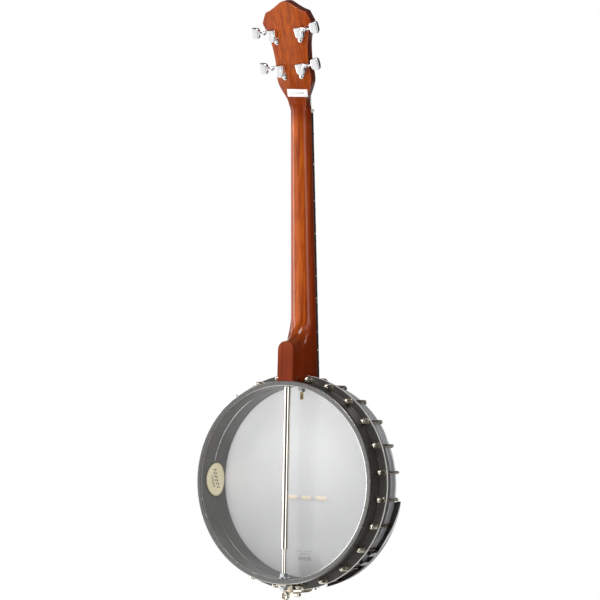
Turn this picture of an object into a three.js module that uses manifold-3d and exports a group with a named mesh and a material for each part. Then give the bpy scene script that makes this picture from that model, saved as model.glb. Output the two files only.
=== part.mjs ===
// Open-back tenor banjo: die-cast pot with an integral flange, 21 inch scale, 19 frets, 4 strings.
// Millimetres. Two working frames: the pot frame has its origin at the centre of the rim's flat back
// edge, Y towards the back and Z up along the neck; the neck frame starts at the nut on the
// fretboard's surface, Y into the neck and Z towards the headstock.
import * as THREE from "three";
import { mergeVertices } from "three/addons/utils/BufferGeometryUtils.js";
import Module from "manifold-3d";

const wasm = await Module();
wasm.setup();

// Driving dimensions.
const GAP = 0.3;
const ROUND_STEPS = 72;

const RIM_OUTER = 139.7;
const WALL_OUTER = 138.4;
const WALL_FRONT_OUTER = 137.2;
const SEAT_OUTER = 135.2;
const RIM_INNER = 132.5;
const RIM_INNER_FRONT = 132.0;
const RIDGE_Y = -30.5;
const FLANGE_OUTER = 148.2;
const FLANGE_Y = -29.6;
const FLANGE_THICK = 4.4;
const HEAD_Y = -63.4;
const HEAD_SKIN = 0.5;

const HOOP_OUTER = 141.3;
const HOOP_INNER = 136.5;
const HOOP_BACK_Y = -53.7;
const HOOP_FRONT_Y = -69.7;
const HOOP_NOTCH_Y = -60.2;
const HOOP_NOTCH_HALF = 21.2;

const BRACKET_COUNT = 24;
const BRACKET_RADIUS = 143.6;
const BRACKET_FIRST_ANGLE = 7.5;
const HEEL_BRACKET_SHIFT = 1.8;
const HOOK_WIRE = 4.0;
const NUT_WIDE = 7.6;
const NUT_LONG = 15.2;

const SCALE_LENGTH = 533.4;
const FRET_COUNT = 19;
const BRIDGE_Z = -24;
const BRIDGE_HEIGHT = 13;
const NECK_LEAN = 4.3;
const NUT_Y = -31;
const NUT_HALF = 14.8;
const NECK_END_HALF = 19.6;
const FRETBOARD_THICK = 6;
const NECK_DEPTH = 15;
const HEEL_HALF = 12.2;
const HEEL_SHOULDER_HALF = 18.2;
const HEEL_SLOT_HALF = 18.3;
const HEEL_BACK_Y = 1.5;
const HEEL_TOP_Z = 193.6;
const HEEL_DEPTH = 44;
const HEEL_RISE = 37.5;

const HEADSTOCK_ANGLE = 13;
const HEADSTOCK_FRONT = 4.0;
const HEADSTOCK_BACK = 15.5;
const VENEER_THICK = 1.3;
const POST_RADIUS = 3;
const POST_HOLE = 4.3;
const POST_FRONT = -17;
const WINDING_RADIUS = 3.8;
const TUNER_SHAFT_HEIGHT = 6;
const TUNER_SHAFT_RISE = 4.8;
const TUNER_REACH = 25.5;

const ROD_RADIUS = 4.75;
const ROD_BORE = 3.5;
const ROD_TOP = [-6.6, 131.6];
const ROD_FOOT = [-10.6, -131.9];
const ROD_SPAN = Math.hypot(ROD_TOP[0] - ROD_FOOT[0], ROD_TOP[1] - ROD_FOOT[1]);
const ROD_TUBE_LENGTH = 223;
const ADJUSTER_RADIUS = 3.1;
const LOWER_BOLT_RADIUS = 3;
const UPPER_BOLT_RADIUS = 2.5;
const UPPER_BOLT_Y = -44.8;

const TAIL_HALF = 8;
const TAIL_PLATE_HALF = 16;
const TAIL_HINGE = [-80.2, -147.5];
const TAIL_SCREW_Z = -155.4;

const ARMREST_FROM = 98.5;
const ARMREST_TO = 167.5;

// The four tuners, numbered from the first string: side is +1 on the treble side; across and along
// place the post on the headstock; turn swings the shaft up a little where it was mounted askew.
const TUNERS = [
  { side: 1, across: 17, along: 62, turn: 0 },
  { side: 1, across: 22.5, along: 111.5, turn: 0 },
  { side: -1, across: 22.5, along: 114.5, turn: 8 },
  { side: -1, across: 17, along: 64, turn: 8 },
];
const NUT_SLOTS = [10.2, 3.4, -3.4, -10.2];
const BRIDGE_SLOTS = [14.4, 4.8, -4.8, -14.4];
const STRING_DIAMETERS = [0.3, 0.42, 0.6, 0.8];

const NUT_Z = BRIDGE_Z + SCALE_LENGTH;
const BRIDGE_FOOT_Y = HEAD_Y - HEAD_SKIN - GAP;
const BRIDGE_TOP_Y = BRIDGE_FOOT_Y - BRIDGE_HEIGHT;
const radians = THREE.MathUtils.degToRad;
const NECK_MATRIX = new THREE.Matrix4()
  .makeTranslation(0, NUT_Y, NUT_Z)
  .multiply(new THREE.Matrix4().makeRotationX(-radians(NECK_LEAN)));
const NECK_END = -(NUT_Z - HOOP_OUTER) / Math.cos(radians(NECK_LEAN));

const finish = (color, roughness, metalness) => ({ color, roughness, metalness });
const GUNMETAL = finish(0x6d6d68, 0.45, 0.7);
const CHROME = finish(0xd8d8d6, 0.12, 1.0);
const NICKEL = finish(0xcfc7b4, 0.22, 1.0);
const ZINC = finish(0xd5d8da, 0.4, 0.9);
const BRASS = finish(0xb9a468, 0.35, 0.9);
const MAHOGANY = finish(0x8a3a1a, 0.25, 0.0);
const ROSEWOOD = finish(0x1d1512, 0.5, 0.0);
const BLACK = finish(0x0c0c0c, 0.3, 0.0);
const BONE = finish(0xeee8d8, 0.5, 0.0);
const MAPLE = finish(0xd9b98a, 0.5, 0.0);
const FROSTED = finish(0xe4e6e8, 0.6, 0.0);
const STEEL = finish(0xb5b5b2, 0.35, 1.0);
const CREAM = finish(0xe9d9a6, 0.6, 0.0);

// The root group's origin is the middle of the headstock's flare, where a hanger's arms carry it.
const HANGER = new THREE.Vector3(0, 9, 24)
  .applyAxisAngle(new THREE.Vector3(1, 0, 0), -radians(HEADSTOCK_ANGLE))
  .applyMatrix4(NECK_MATRIX);
const banjo = new THREE.Group();
banjo.name = "banjo";
const pot = new THREE.Group();
pot.position.copy(HANGER).negate();
banjo.add(pot);
const neckGroup = new THREE.Group();
neckGroup.applyMatrix4(NECK_MATRIX);
pot.add(neckGroup);
const headstockGroup = new THREE.Group();
headstockGroup.rotation.x = -radians(HEADSTOCK_ANGLE);
neckGroup.add(headstockGroup);

// Puts one named piece into a group.
function addPiece(group, name, geometry, look) {
  const mesh = new THREE.Mesh(geometry, new THREE.MeshStandardMaterial(look));
  mesh.name = name;
  group.add(mesh);
  return mesh;
}

// A closed geometry as a manifold solid.
function toSolid(geometry) {
  const bare = geometry.index ? geometry.toNonIndexed() : geometry.clone();
  bare.deleteAttribute("normal");
  bare.deleteAttribute("uv");
  const merged = mergeVertices(bare, 1e-3);
  return new wasm.Manifold(
    new wasm.Mesh({
      numProp: 3,
      vertProperties: new Float32Array(merged.attributes.position.array),
      triVerts: new Uint32Array(merged.index.array),
    }),
  );
}

function toGeometry(solid) {
  const mesh = solid.getMesh();
  const geometry = new THREE.BufferGeometry();
  geometry.setAttribute("position", new THREE.BufferAttribute(mesh.vertProperties, 3));
  geometry.setIndex(new THREE.BufferAttribute(mesh.triVerts, 1));
  geometry.computeVertexNormals();
  return geometry;
}

function join(...geometries) {
  const solids = geometries.map(toSolid);
  return toGeometry(solids.reduce((sum, solid) => sum.add(solid)));
}

function cut(body, ...tools) {
  const solids = tools.map(toSolid);
  return toGeometry(solids.reduce((rest, tool) => rest.subtract(tool), toSolid(body)));
}

function common(a, b) {
  return toGeometry(toSolid(a).intersect(toSolid(b)));
}

// The same closed surface with its faces turned to point outwards.
function facingOut(geometry) {
  const { array } = geometry.attributes.position;
  const index = geometry.index.array;
  const [a, b, c] = [new THREE.Vector3(), new THREE.Vector3(), new THREE.Vector3()];
  let volume = 0;
  for (let i = 0; i < index.length; i += 3) {
    a.fromArray(array, 3 * index[i]);
    b.fromArray(array, 3 * index[i + 1]);
    c.fromArray(array, 3 * index[i + 2]);
    volume += a.dot(b.cross(c));
  }
  if (volume < 0) index.reverse();
  return geometry;
}

// A ring or disc turned about the pot's axis (Y) from a closed list of [radius, y].
function turned(profile, steps = ROUND_STEPS) {
  const points = profile.map(([r, y]) => new THREE.Vector2(r, y));
  if (profile[0][0] > 0) points.push(points[0].clone());
  return facingOut(new THREE.LatheGeometry(points, steps));
}

// A block between two corners.
function block(low, high) {
  const size = high.map((value, i) => value - low[i]);
  const geometry = new THREE.BoxGeometry(...size);
  return geometry.translate(...low.map((value, i) => value + size[i] / 2));
}

// A straight round bar between two points.
function bar(from, to, radius, sides = 16) {
  const a = new THREE.Vector3(...from);
  const b = new THREE.Vector3(...to);
  const along = b.clone().sub(a);
  const geometry = new THREE.CylinderGeometry(radius, radius, along.length(), sides);
  const turn = new THREE.Quaternion().setFromUnitVectors(
    new THREE.Vector3(0, 1, 0),
    along.clone().normalize(),
  );
  return geometry.applyQuaternion(turn).translate(...a.add(b).multiplyScalar(0.5).toArray());
}

// A skin over a stack of rings with equal point counts, closed by a flat fan at each end.
function loft(rings) {
  const count = rings[0].length;
  const points = rings.flat();
  const faces = [];
  for (let r = 0; r < rings.length - 1; r++) {
    for (let i = 0; i < count; i++) {
      const a = r * count + i;
      const b = r * count + ((i + 1) % count);
      faces.push(a, b, a + count, b, b + count, a + count);
    }
  }
  for (const [ring, start, flip] of [
    [rings[0], 0, true],
    [rings[rings.length - 1], (rings.length - 1) * count, false],
  ]) {
    const middle = points.length;
    const sum = ring.reduce((total, p) => total.add(p), new THREE.Vector3());
    points.push(sum.divideScalar(count));
    for (let i = 0; i < count; i++) {
      const a = start + i;
      const b = start + ((i + 1) % count);
      faces.push(...(flip ? [b, a, middle] : [a, b, middle]));
    }
  }
  const geometry = new THREE.BufferGeometry().setFromPoints(points);
  geometry.setIndex(faces);
  return facingOut(geometry);
}

// The outline of a strip of even thickness that follows a bent line of [y, z] points.
function stripShape(line, thickness) {
  const sides = line.map((point, i) => {
    const before = line[Math.max(i - 1, 0)];
    const after = line[Math.min(i + 1, line.length - 1)];
    const along = new THREE.Vector2(after[0] - before[0], after[1] - before[1]).normalize();
    return new THREE.Vector2(-along.y, along.x).multiplyScalar(thickness / 2);
  });
  const left = line.map(([y, z], i) => new THREE.Vector2(y, z).add(sides[i]));
  const right = line.map(([y, z], i) => new THREE.Vector2(y, z).sub(sides[i]));
  return new THREE.Shape([...left, ...right.reverse()]);
}

// A flat shape drawn in the Y-Z plane and given its width along X.
function acrossX(shape, halfWidth, middle = 0) {
  const geometry = new THREE.ExtrudeGeometry(shape, {
    depth: 2 * halfWidth,
    bevelEnabled: false,
    curveSegments: 8,
  });
  const toYZ = new THREE.Matrix4().set(0, 0, 1, 0, 1, 0, 0, 0, 0, 1, 0, 0, 0, 0, 0, 1);
  return geometry.applyMatrix4(toYZ).translate(middle - halfWidth, 0, 0);
}

// A line of straight stretches whose sampled points are its own corners.
class BentLine extends THREE.Curve {
  constructor(corners) {
    super();
    this.corners = corners;
  }
  getPoint(t, target = new THREE.Vector3()) {
    const place = t * (this.corners.length - 1);
    const i = Math.min(Math.floor(place), this.corners.length - 2);
    return target.lerpVectors(this.corners[i], this.corners[i + 1], place - i);
  }
  getPointAt(u, target) {
    return this.getPoint(u, target);
  }
  getTangentAt(u, target) {
    return this.getTangent(u, target);
  }
}

function circleShape(radius, sides) {
  const points = [];
  for (let i = 0; i < sides; i++) {
    const angle = (2 * Math.PI * i) / sides;
    points.push(new THREE.Vector2(radius * Math.cos(angle), radius * Math.sin(angle)));
  }
  return new THREE.Shape(points);
}

function wire(corners, radius, sides = 8) {
  return new THREE.ExtrudeGeometry(circleShape(radius, sides), {
    extrudePath: new BentLine(corners),
    steps: corners.length - 1,
    bevelEnabled: false,
  });
}

// A point of the pot, at an angle from the neck towards the bass side.
function aroundPot(degrees, radius, y) {
  const angle = radians(degrees);
  return new THREE.Vector3(-radius * Math.sin(angle), y, radius * Math.cos(angle));
}

// A tool of the pot frame as the neck frame sees it.
function inNeckFrame(geometry) {
  return geometry.applyMatrix4(NECK_MATRIX.clone().invert());
}

// POT ------------------------------------------------------------------------------------------

function bracketAngle(index) {
  const angle = BRACKET_FIRST_ANGLE + (360 / BRACKET_COUNT) * index;
  if (index === 0) return angle + HEEL_BRACKET_SHIFT;
  if (index === BRACKET_COUNT - 1) return angle - HEEL_BRACKET_SHIFT;
  return angle;
}

function rim() {
  const flangeFront = FLANGE_Y - FLANGE_THICK;
  const body = turned([
    [RIM_INNER, -0.8],
    [RIM_INNER, RIDGE_Y + 0.6],
    [RIM_INNER_FRONT, RIDGE_Y],
    [RIM_INNER_FRONT, -59.5],
    [133.2, -62.4],
    [134.3, -62.9],
    [SEAT_OUTER, -61.8],
    [SEAT_OUTER, -48.6],
    [WALL_FRONT_OUTER, -46.6],
    [WALL_FRONT_OUTER, flangeFront - 0.6],
    [FLANGE_OUTER - 1.4, flangeFront],
    [FLANGE_OUTER, flangeFront + 1.2],
    [FLANGE_OUTER, FLANGE_Y - 1.2],
    [FLANGE_OUTER - 1.4, FLANGE_Y],
    [WALL_OUTER + 0.8, FLANGE_Y + 1],
    [WALL_OUTER, FLANGE_Y + 2],
    [WALL_OUTER, -9],
    [RIM_OUTER, -7],
    [RIM_OUTER, -1],
    [RIM_OUTER - 1, 0],
    [RIM_INNER + 0.8, 0],
  ]);
  const holes = [];
  for (let i = 0; i < BRACKET_COUNT; i++) {
    const place = aroundPot(bracketAngle(i), BRACKET_RADIUS, 0);
    holes.push(
      bar([place.x, -26, place.z], [place.x, -38, place.z], HOOK_WIRE / 2 + GAP, 8),
    );
  }
  const heelSlot = block([-HEEL_SLOT_HALF, -38, 134], [HEEL_SLOT_HALF, -26, 152]);
  const wall = bar([0, -24, 0], [0, -40, 0], WALL_OUTER + 0.05, ROUND_STEPS);
  return cut(
    body,
    ...holes,
    cut(heelSlot, wall),
    neckBolt(UPPER_BOLT_Y, 126, 144, UPPER_BOLT_RADIUS + GAP),
    neckBolt(ROD_TOP[0], 126, 144, LOWER_BOLT_RADIUS + GAP),
    neckBolt(ROD_FOOT[0], -144, -126, ADJUSTER_RADIUS + 0.1 + GAP),
  );
}

// The membrane, its moulded collar and the flesh hoop that the collar is locked into.
function head() {
  return turned([
    [0, HEAD_Y - HEAD_SKIN],
    [134.0, HEAD_Y - HEAD_SKIN],
    [135.6, -63.2],
    [136.1, -61.9],
    [136.1, -53.4],
    [140.6, -53.2],
    [141.0, -52.6],
    [141.0, -50.4],
    [140.6, -49.8],
    [135.6, -49.8],
    [135.6, -61.7],
    [134.9, -62.8],
    [133.6, HEAD_Y],
    [0, HEAD_Y],
  ]);
}

function tensionHoop() {
  const ring = turned([
    [HOOP_INNER, HOOP_BACK_Y],
    [HOOP_INNER, HOOP_FRONT_Y + 0.7],
    [HOOP_INNER + 0.7, HOOP_FRONT_Y],
    [HOOP_OUTER - 0.9, HOOP_FRONT_Y],
    [HOOP_OUTER, HOOP_FRONT_Y + 0.9],
    [HOOP_OUTER, HOOP_BACK_Y],
  ]);
  const neckNotch = block(
    [-HOOP_NOTCH_HALF, HOOP_FRONT_Y - 5, 120],
    [HOOP_NOTCH_HALF, HOOP_NOTCH_Y, 150],
  );
  return cut(ring, neckNotch);
}

// A hook over the tension hoop with its long nut behind the flange.
function bracket(degrees) {
  const hookTop = HOOP_FRONT_Y - GAP;
  const reach = HOOP_INNER - 0.6;
  const shaft = bar([0, hookTop - 1.6, BRACKET_RADIUS], [0, -22, BRACKET_RADIUS], HOOK_WIRE / 2, 8);
  const overHoop = block([-2.4, hookTop - 2.8, reach], [2.4, hookTop, BRACKET_RADIUS + 1]);
  const nutFoot = FLANGE_Y + 1 + GAP;
  const nut = new THREE.LatheGeometry(
    [
      [0, 0],
      [NUT_WIDE / 2, 0],
      [NUT_WIDE / 2, NUT_LONG - 2.4],
      [NUT_WIDE / 2 - 1, NUT_LONG - 0.6],
      [0, NUT_LONG],
    ].map(([r, y]) => new THREE.Vector2(r, y)),
    10,
  ).translate(0, nutFoot, BRACKET_RADIUS);
  return join(shaft, overHoop, nut).rotateY(-radians(degrees));
}

// A shell over the hoop for the forearm, held by two clamps that reach round the hoop.
function armrest() {
  const middle = (ARMREST_FROM + ARMREST_TO) / 2;
  const half = (ARMREST_TO - ARMREST_FROM) / 2;
  const outside = [
    [148.2, -63.5],
    [148.2, -71.4],
    [145.4, -76.8],
    [138, -79.4],
    [126, -80.6],
    [112, -80],
  ];
  const inside = [
    [112, -78.4],
    [126, -79],
    [137.6, -77.8],
    [144.5, -75.2],
    [146.7, -71.2],
    [146.7, -63.5],
  ];
  const section = [...outside, ...inside];
  const tip = [146.7, -73.8];
  const rings = [];
  const steps = 20;
  for (let i = 0; i <= steps; i++) {
    const s = -Math.cos((Math.PI * i) / steps);
    const size = 0.12 + 0.88 * Math.sqrt(1 - s * s);
    rings.push(
      section.map(([r, y]) => {
        const radius = tip[0] + (r - tip[0]) * (r < 140 ? size : Math.sqrt(size));
        return aroundPot(middle + half * s, radius, tip[1] + (y - tip[1]) * Math.sqrt(size));
      }),
    );
  }
  const clamp = (degrees) =>
    join(
      block([-3.2, -66, 146.9], [3.2, -49, 148.5]),
      block([-3.2, -50.6, 142.4], [3.2, -49, 148.5]),
    ).rotateY(-radians(degrees));
  return join(loft(rings), clamp(middle - 3.2), clamp(middle + 3.8));
}

// A round paper label on the inside of the rim wall.
function rimLabel() {
  const skin = turned([
    [131.3, -5],
    [131.3, -62],
    [131.65, -62],
    [131.65, -5],
  ]);
  return common(skin, bar([120, -35.5, -1.5], [140, -35.5, -1.5], 24.4, 32));
}

// ROD AND BOLTS --------------------------------------------------------------------------------

function rodPoint(distance) {
  const top = new THREE.Vector3(0, ...ROD_TOP);
  const foot = new THREE.Vector3(0, ...ROD_FOOT);
  return top.lerp(foot, distance / top.distanceTo(foot)).toArray();
}

function coordinatorRod() {
  const tube = bar(rodPoint(0.4), rodPoint(ROD_TUBE_LENGTH), ROD_RADIUS, 20);
  const bore = bar(rodPoint(-2), rodPoint(ROD_TUBE_LENGTH + 2), ROD_BORE, 16);
  const tommyHole = bar([-9, rodPoint(141)[1], -9], [9, rodPoint(141)[1], -9], 1.4, 10);
  return cut(tube, bore, tommyHole);
}

function rodAdjuster() {
  return bar(rodPoint(ROD_TUBE_LENGTH - 30), rodPoint(ROD_SPAN + 16.2), ADJUSTER_RADIUS, 16);
}

// A hexagon nut on the adjuster, with its washer, from one distance down the rod to another.
function rodNut(from, to, washerFrom, washerTo) {
  const nut = bar(rodPoint(from), rodPoint(to), 6.4, 6);
  const washer = bar(rodPoint(washerFrom), rodPoint(washerTo), 8, 24);
  return cut(join(nut, washer), bar(rodPoint(from - 3), rodPoint(to + 3), ADJUSTER_RADIUS + GAP, 16));
}

function neckBolt(y, from, to, radius) {
  return bar([0, y, from], [0, y, to], radius, 12);
}

function upperNeckBolt() {
  const nut = bar([0, UPPER_BOLT_Y, 124.2], [0, UPPER_BOLT_Y, 129], 5.2, 6);
  const washer = bar([0, UPPER_BOLT_Y, 129], [0, UPPER_BOLT_Y, 131.4], 5.6, 16);
  return join(neckBolt(UPPER_BOLT_Y, 113.5, 164, UPPER_BOLT_RADIUS), nut, washer);
}

// NECK -----------------------------------------------------------------------------------------

function neckHalfWidth(z) {
  return NUT_HALF + ((NECK_END_HALF - NUT_HALF) * Math.max(-z, -6)) / -NECK_END;
}

// One D-shaped section of the neck behind the fretboard.
function neckSection(z) {
  const half = neckHalfWidth(z);
  const front = FRETBOARD_THICK + 0.27 * Math.max(z, 0);
  const depth = NECK_DEPTH + (1.6 * Math.max(-z, 0)) / -NECK_END;
  const back = FRETBOARD_THICK + depth;
  const shoulder = front + 1.4;
  const ring = [new THREE.Vector3(-half, front, z)];
  const steps = 14;
  for (let i = 0; i <= steps; i++) {
    const angle = Math.PI * (1 - i / steps);
    const across = Math.sign(Math.cos(angle)) * Math.abs(Math.cos(angle)) ** 0.92;
    const deep = Math.sin(angle) ** 0.92;
    ring.push(new THREE.Vector3(half * across, shoulder + (back - shoulder) * deep, z));
  }
  ring.push(new THREE.Vector3(half, front, z));
  return ring;
}

// One arched slice of the heel at a height y of the pot frame.
function heelSection(part) {
  const y = HEEL_BACK_Y - part * HEEL_DEPTH;
  const half = HEEL_HALF + (HEEL_SHOULDER_HALF - HEEL_HALF) * Math.sin((part * Math.PI) / 2);
  const top = HEEL_TOP_Z + HEEL_RISE * part ** 1.6;
  const arch = half * (1 + 0.5 * part);
  const ring = [new THREE.Vector3(half, y, 125)];
  const steps = 14;
  for (let i = 0; i <= steps; i++) {
    const angle = (Math.PI * i) / steps;
    ring.push(
      new THREE.Vector3(half * Math.cos(angle), y, top - arch + arch * Math.sin(angle) ** 0.9),
    );
  }
  ring.push(new THREE.Vector3(-half, y, 125));
  return ring;
}

// The outline of the headstock from the nut up: waist, lower swell, splayed shoulders and peak.
function headstockOutline(start) {
  const right = [
    [14.6, start],
    [13.6, 12],
    [15.4, 22],
    [21.4, 33.5],
    [25.8, 43],
    [27.3, 53],
    [26.2, 70],
    [28.4, 97],
    [33.6, 115],
    [39.0, 128.6],
    [32.6, 143],
    [24.5, 146.6],
    [16, 151.6],
    [8, 156.8],
    [0, 158.6],
  ];
  const left = right.slice(0, -1).map(([x, u]) => [-x, u]);
  return [...right, ...left.reverse()];
}

// A plate of the headstock between two depths; u runs along the headstock.
function headstockPlate(start, front, back) {
  const points = headstockOutline(start).map(([x, u]) => new THREE.Vector2(x, u));
  const shape = new THREE.Shape(points);
  for (const tuner of TUNERS) {
    const hole = circleShape(POST_HOLE, 16).getPoints();
    const middle = new THREE.Vector2(tuner.side * tuner.across, tuner.along);
    shape.holes.push(new THREE.Path(hole.map((p) => p.add(middle))));
  }
  const plate = new THREE.ExtrudeGeometry(shape, { depth: back - front, bevelEnabled: false });
  return plate.rotateX(Math.PI / 2).translate(0, back, 0);
}

// Neck shaft, heel and headstock in one piece, cut to the pot it is bolted to.
function neck() {
  const shaftSections = [];
  const shaftSteps = 18;
  for (let i = 0; i <= shaftSteps; i++) {
    shaftSections.push(neckSection(NECK_END - 14 + ((24 + 14 - NECK_END) * i) / shaftSteps));
  }
  const heelSlices = [];
  const heelSteps = 10;
  for (let i = 0; i <= heelSteps; i++) heelSlices.push(heelSection(i / heelSteps));
  const heel = inNeckFrame(loft(heelSlices));
  const headstock = headstockPlate(6, HEADSTOCK_FRONT, HEADSTOCK_BACK).rotateX(
    -radians(HEADSTOCK_ANGLE),
  );
  const potRoom = turned([
    [0, -80],
    [HOOP_OUTER + GAP + 0.1, -80],
    [HOOP_OUTER + GAP + 0.1, -48.6],
    [WALL_OUTER + GAP + 0.1, -47.6],
    [WALL_OUTER + GAP + 0.1, -10],
    [RIM_OUTER + GAP + 0.1, -8],
    [RIM_OUTER + GAP + 0.1, 6],
    [0, 6],
  ]);
  const lowerHole = neckBolt(ROD_TOP[0], 120, 165, LOWER_BOLT_RADIUS + GAP);
  const upperHole = neckBolt(UPPER_BOLT_Y, 120, 165, UPPER_BOLT_RADIUS + GAP);
  return cut(
    join(loft(shaftSections), heel, headstock),
    inNeckFrame(potRoom),
    inNeckFrame(lowerHole),
    inNeckFrame(upperHole),
  );
}

// The fingerboard with its frets, ending square against the tension hoop.
function fretboard() {
  const end = NECK_END - 6;
  const near = neckHalfWidth(-GAP);
  const far = neckHalfWidth(end);
  const plan = new THREE.Shape([
    new THREE.Vector2(-near, -GAP),
    new THREE.Vector2(-far, end),
    new THREE.Vector2(far, end),
    new THREE.Vector2(near, -GAP),
  ]);
  const thick = FRETBOARD_THICK - GAP;
  const board = new THREE.ExtrudeGeometry(plan, { depth: thick, bevelEnabled: false });
  board.rotateX(Math.PI / 2).translate(0, thick, 0);
  const frets = [];
  for (let n = 1; n <= FRET_COUNT; n++) {
    const z = -SCALE_LENGTH * (1 - 2 ** (-n / 12));
    const crown = new THREE.Shape([
      new THREE.Vector2(0.6, z - 1.1),
      new THREE.Vector2(0.6, z + 1.1),
      new THREE.Vector2(-0.3, z + 1.1),
      new THREE.Vector2(-1, z + 0.5),
      new THREE.Vector2(-1, z - 0.5),
      new THREE.Vector2(-0.3, z - 1.1),
    ]);
    frets.push(acrossX(crown, neckHalfWidth(z) - 0.4));
  }
  const hoopRoom = bar([0, -90, 0], [0, -20, 0], HOOP_OUTER + GAP + 0.1, ROUND_STEPS);
  return cut(join(board, ...frets), inNeckFrame(hoopRoom));
}

function stringNut() {
  const section = new THREE.Shape([
    new THREE.Vector2(FRETBOARD_THICK - GAP, 0.1),
    new THREE.Vector2(FRETBOARD_THICK - GAP, 4.4),
    new THREE.Vector2(-0.2, 4.4),
    new THREE.Vector2(-1.2, 3),
    new THREE.Vector2(-1.4, 0.1),
  ]);
  return acrossX(section, NUT_HALF - 0.1);
}

// A bell-shaped cover over the end of the truss rod.
function trussRodCover() {
  const outline = new THREE.Shape();
  outline.moveTo(-8, 11);
  outline.lineTo(8, 11);
  outline.lineTo(8, 19);
  outline.bezierCurveTo(8, 27, 3.4, 30, 2.2, 40);
  outline.lineTo(-2.2, 40);
  outline.bezierCurveTo(-3.4, 30, -8, 27, -8, 19);
  outline.closePath();
  const plate = new THREE.ExtrudeGeometry(outline, {
    depth: 1.4,
    bevelEnabled: false,
    curveSegments: 8,
  });
  const veneerFront = HEADSTOCK_FRONT - GAP - VENEER_THICK;
  return plate.rotateX(Math.PI / 2).translate(0, veneerFront - GAP, 0);
}

// TUNERS ---------------------------------------------------------------------------------------

// Moves a tuner part drawn around its own post to its place on the headstock.
function placeTuner(geometry, tuner) {
  geometry.rotateY(-tuner.side * radians(tuner.turn));
  return geometry.translate(tuner.side * tuner.across, 0, tuner.along);
}

// An enclosed die-cast gear housing with one screw ear at its lower inner corner.
function tunerHousing(tuner) {
  const foot = HEADSTOCK_BACK + GAP;
  const shaftHeight = HEADSTOCK_BACK + TUNER_SHAFT_HEIGHT;
  const inner = -tuner.side;
  const outline = new THREE.Shape();
  outline.moveTo(6, 8.6);
  outline.lineTo(-6, 8.6);
  outline.absarc(0, -1.2, 6, Math.PI, 2 * Math.PI, false);
  const body = new THREE.ExtrudeGeometry(outline, {
    depth: 7.2,
    bevelThickness: 0.8,
    bevelSize: 0.8,
    bevelSegments: 1,
    curveSegments: 6,
  });
  body.rotateX(Math.PI / 2).translate(0, foot + 8, 0);
  const ear = bar([inner * 4.4, foot, -9.6], [inner * 4.4, foot + 2, -9.6], 3.1, 14);
  const web = block([-3, foot, -9.6], [3, foot + 2, 0]).translate(inner * 2.4, 0, 0);
  const neckRing = bar(
    [tuner.side * 5, shaftHeight, TUNER_SHAFT_RISE],
    [tuner.side * 8.6, shaftHeight, TUNER_SHAFT_RISE],
    3.6,
    14,
  );
  const shaftBore = bar(
    [tuner.side * 2, shaftHeight, TUNER_SHAFT_RISE],
    [tuner.side * 12, shaftHeight, TUNER_SHAFT_RISE],
    2.4 + GAP,
    12,
  );
  const postBore = bar([0, foot - 1, 0], [0, foot + 2.6, 0], POST_RADIUS + GAP + 0.2, 14);
  return placeTuner(cut(join(body, ear, web, neckRing), shaftBore, postBore), tuner);
}

// The worm shaft with its flat-sided button.
function tunerButton(tuner) {
  const height = HEADSTOCK_BACK + TUNER_SHAFT_HEIGHT;
  const out = tuner.side;
  const shaft = bar([out * 2.6, height, 0], [out * (TUNER_REACH - 4), height, 0], 2.4, 12);
  const collar = bar([out * 9, height, 0], [out * 12.6, height, 0], 3.3, 14);
  const outline = new THREE.Shape([
    new THREE.Vector2(-6, -2.6),
    new THREE.Vector2(-4.4, -5),
    new THREE.Vector2(3.4, -7.6),
    new THREE.Vector2(5.6, -5.8),
    new THREE.Vector2(5.6, 5.8),
    new THREE.Vector2(3.4, 7.6),
    new THREE.Vector2(-4.4, 5),
    new THREE.Vector2(-6, 2.6),
  ]);
  const button = new THREE.ExtrudeGeometry(outline, {
    depth: 4.6,
    bevelThickness: 1,
    bevelSize: 0.9,
    bevelSegments: 1,
  });
  button.translate(0, 0, -2.3).rotateX(Math.PI / 2);
  if (out < 0) button.rotateY(Math.PI);
  button.translate(out * TUNER_REACH, height, 0);
  return placeTuner(join(shaft, collar, button).translate(0, 0, TUNER_SHAFT_RISE), tuner);
}

// A string post through the headstock, with the string's turns wound on it.
function stringPost(tuner) {
  const post = new THREE.LatheGeometry(
    [
      [0, POST_FRONT],
      [POST_RADIUS - 0.6, POST_FRONT],
      [POST_RADIUS, POST_FRONT + 0.6],
      [POST_RADIUS, POST_FRONT + 4],
      [WINDING_RADIUS, POST_FRONT + 4.6],
      [WINDING_RADIUS, POST_FRONT + 9],
      [POST_RADIUS, POST_FRONT + 9.6],
      [POST_RADIUS, HEADSTOCK_BACK + 2.4],
      [0, HEADSTOCK_BACK + 2.4],
    ].map(([r, y]) => new THREE.Vector2(r, y)),
    14,
  );
  return post.translate(tuner.side * tuner.across, 0, tuner.along);
}

// STRINGS, BRIDGE AND TAILPIECE ----------------------------------------------------------------

// One string: tailpiece, bridge, nut and the inner side of its post.
function playingString(index) {
  const tuner = TUNERS[index];
  const radius = STRING_DIAMETERS[index] / 2;
  const lift = GAP + radius;
  const slot = NUT_SLOTS[index];
  const atBridge = new THREE.Vector3(BRIDGE_SLOTS[index], BRIDGE_TOP_Y - lift, BRIDGE_Z);
  const atTail = new THREE.Vector3(BRIDGE_SLOTS[index] * 0.8, -73.6, -101);
  const overNut = (z) => new THREE.Vector3(slot, -1.4 - lift, z).applyMatrix4(NECK_MATRIX);
  const beside = WINDING_RADIUS + GAP + radius;
  const atPost = new THREE.Vector3(
    tuner.side * (tuner.across - beside),
    POST_FRONT + 7,
    tuner.along,
  );
  const toHeadstock = new THREE.Matrix4().makeRotationX(-radians(HEADSTOCK_ANGLE));
  atPost.applyMatrix4(toHeadstock).applyMatrix4(NECK_MATRIX);
  return wire([atTail, atBridge, overNut(0), overNut(3.4), atPost], radius);
}

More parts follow.
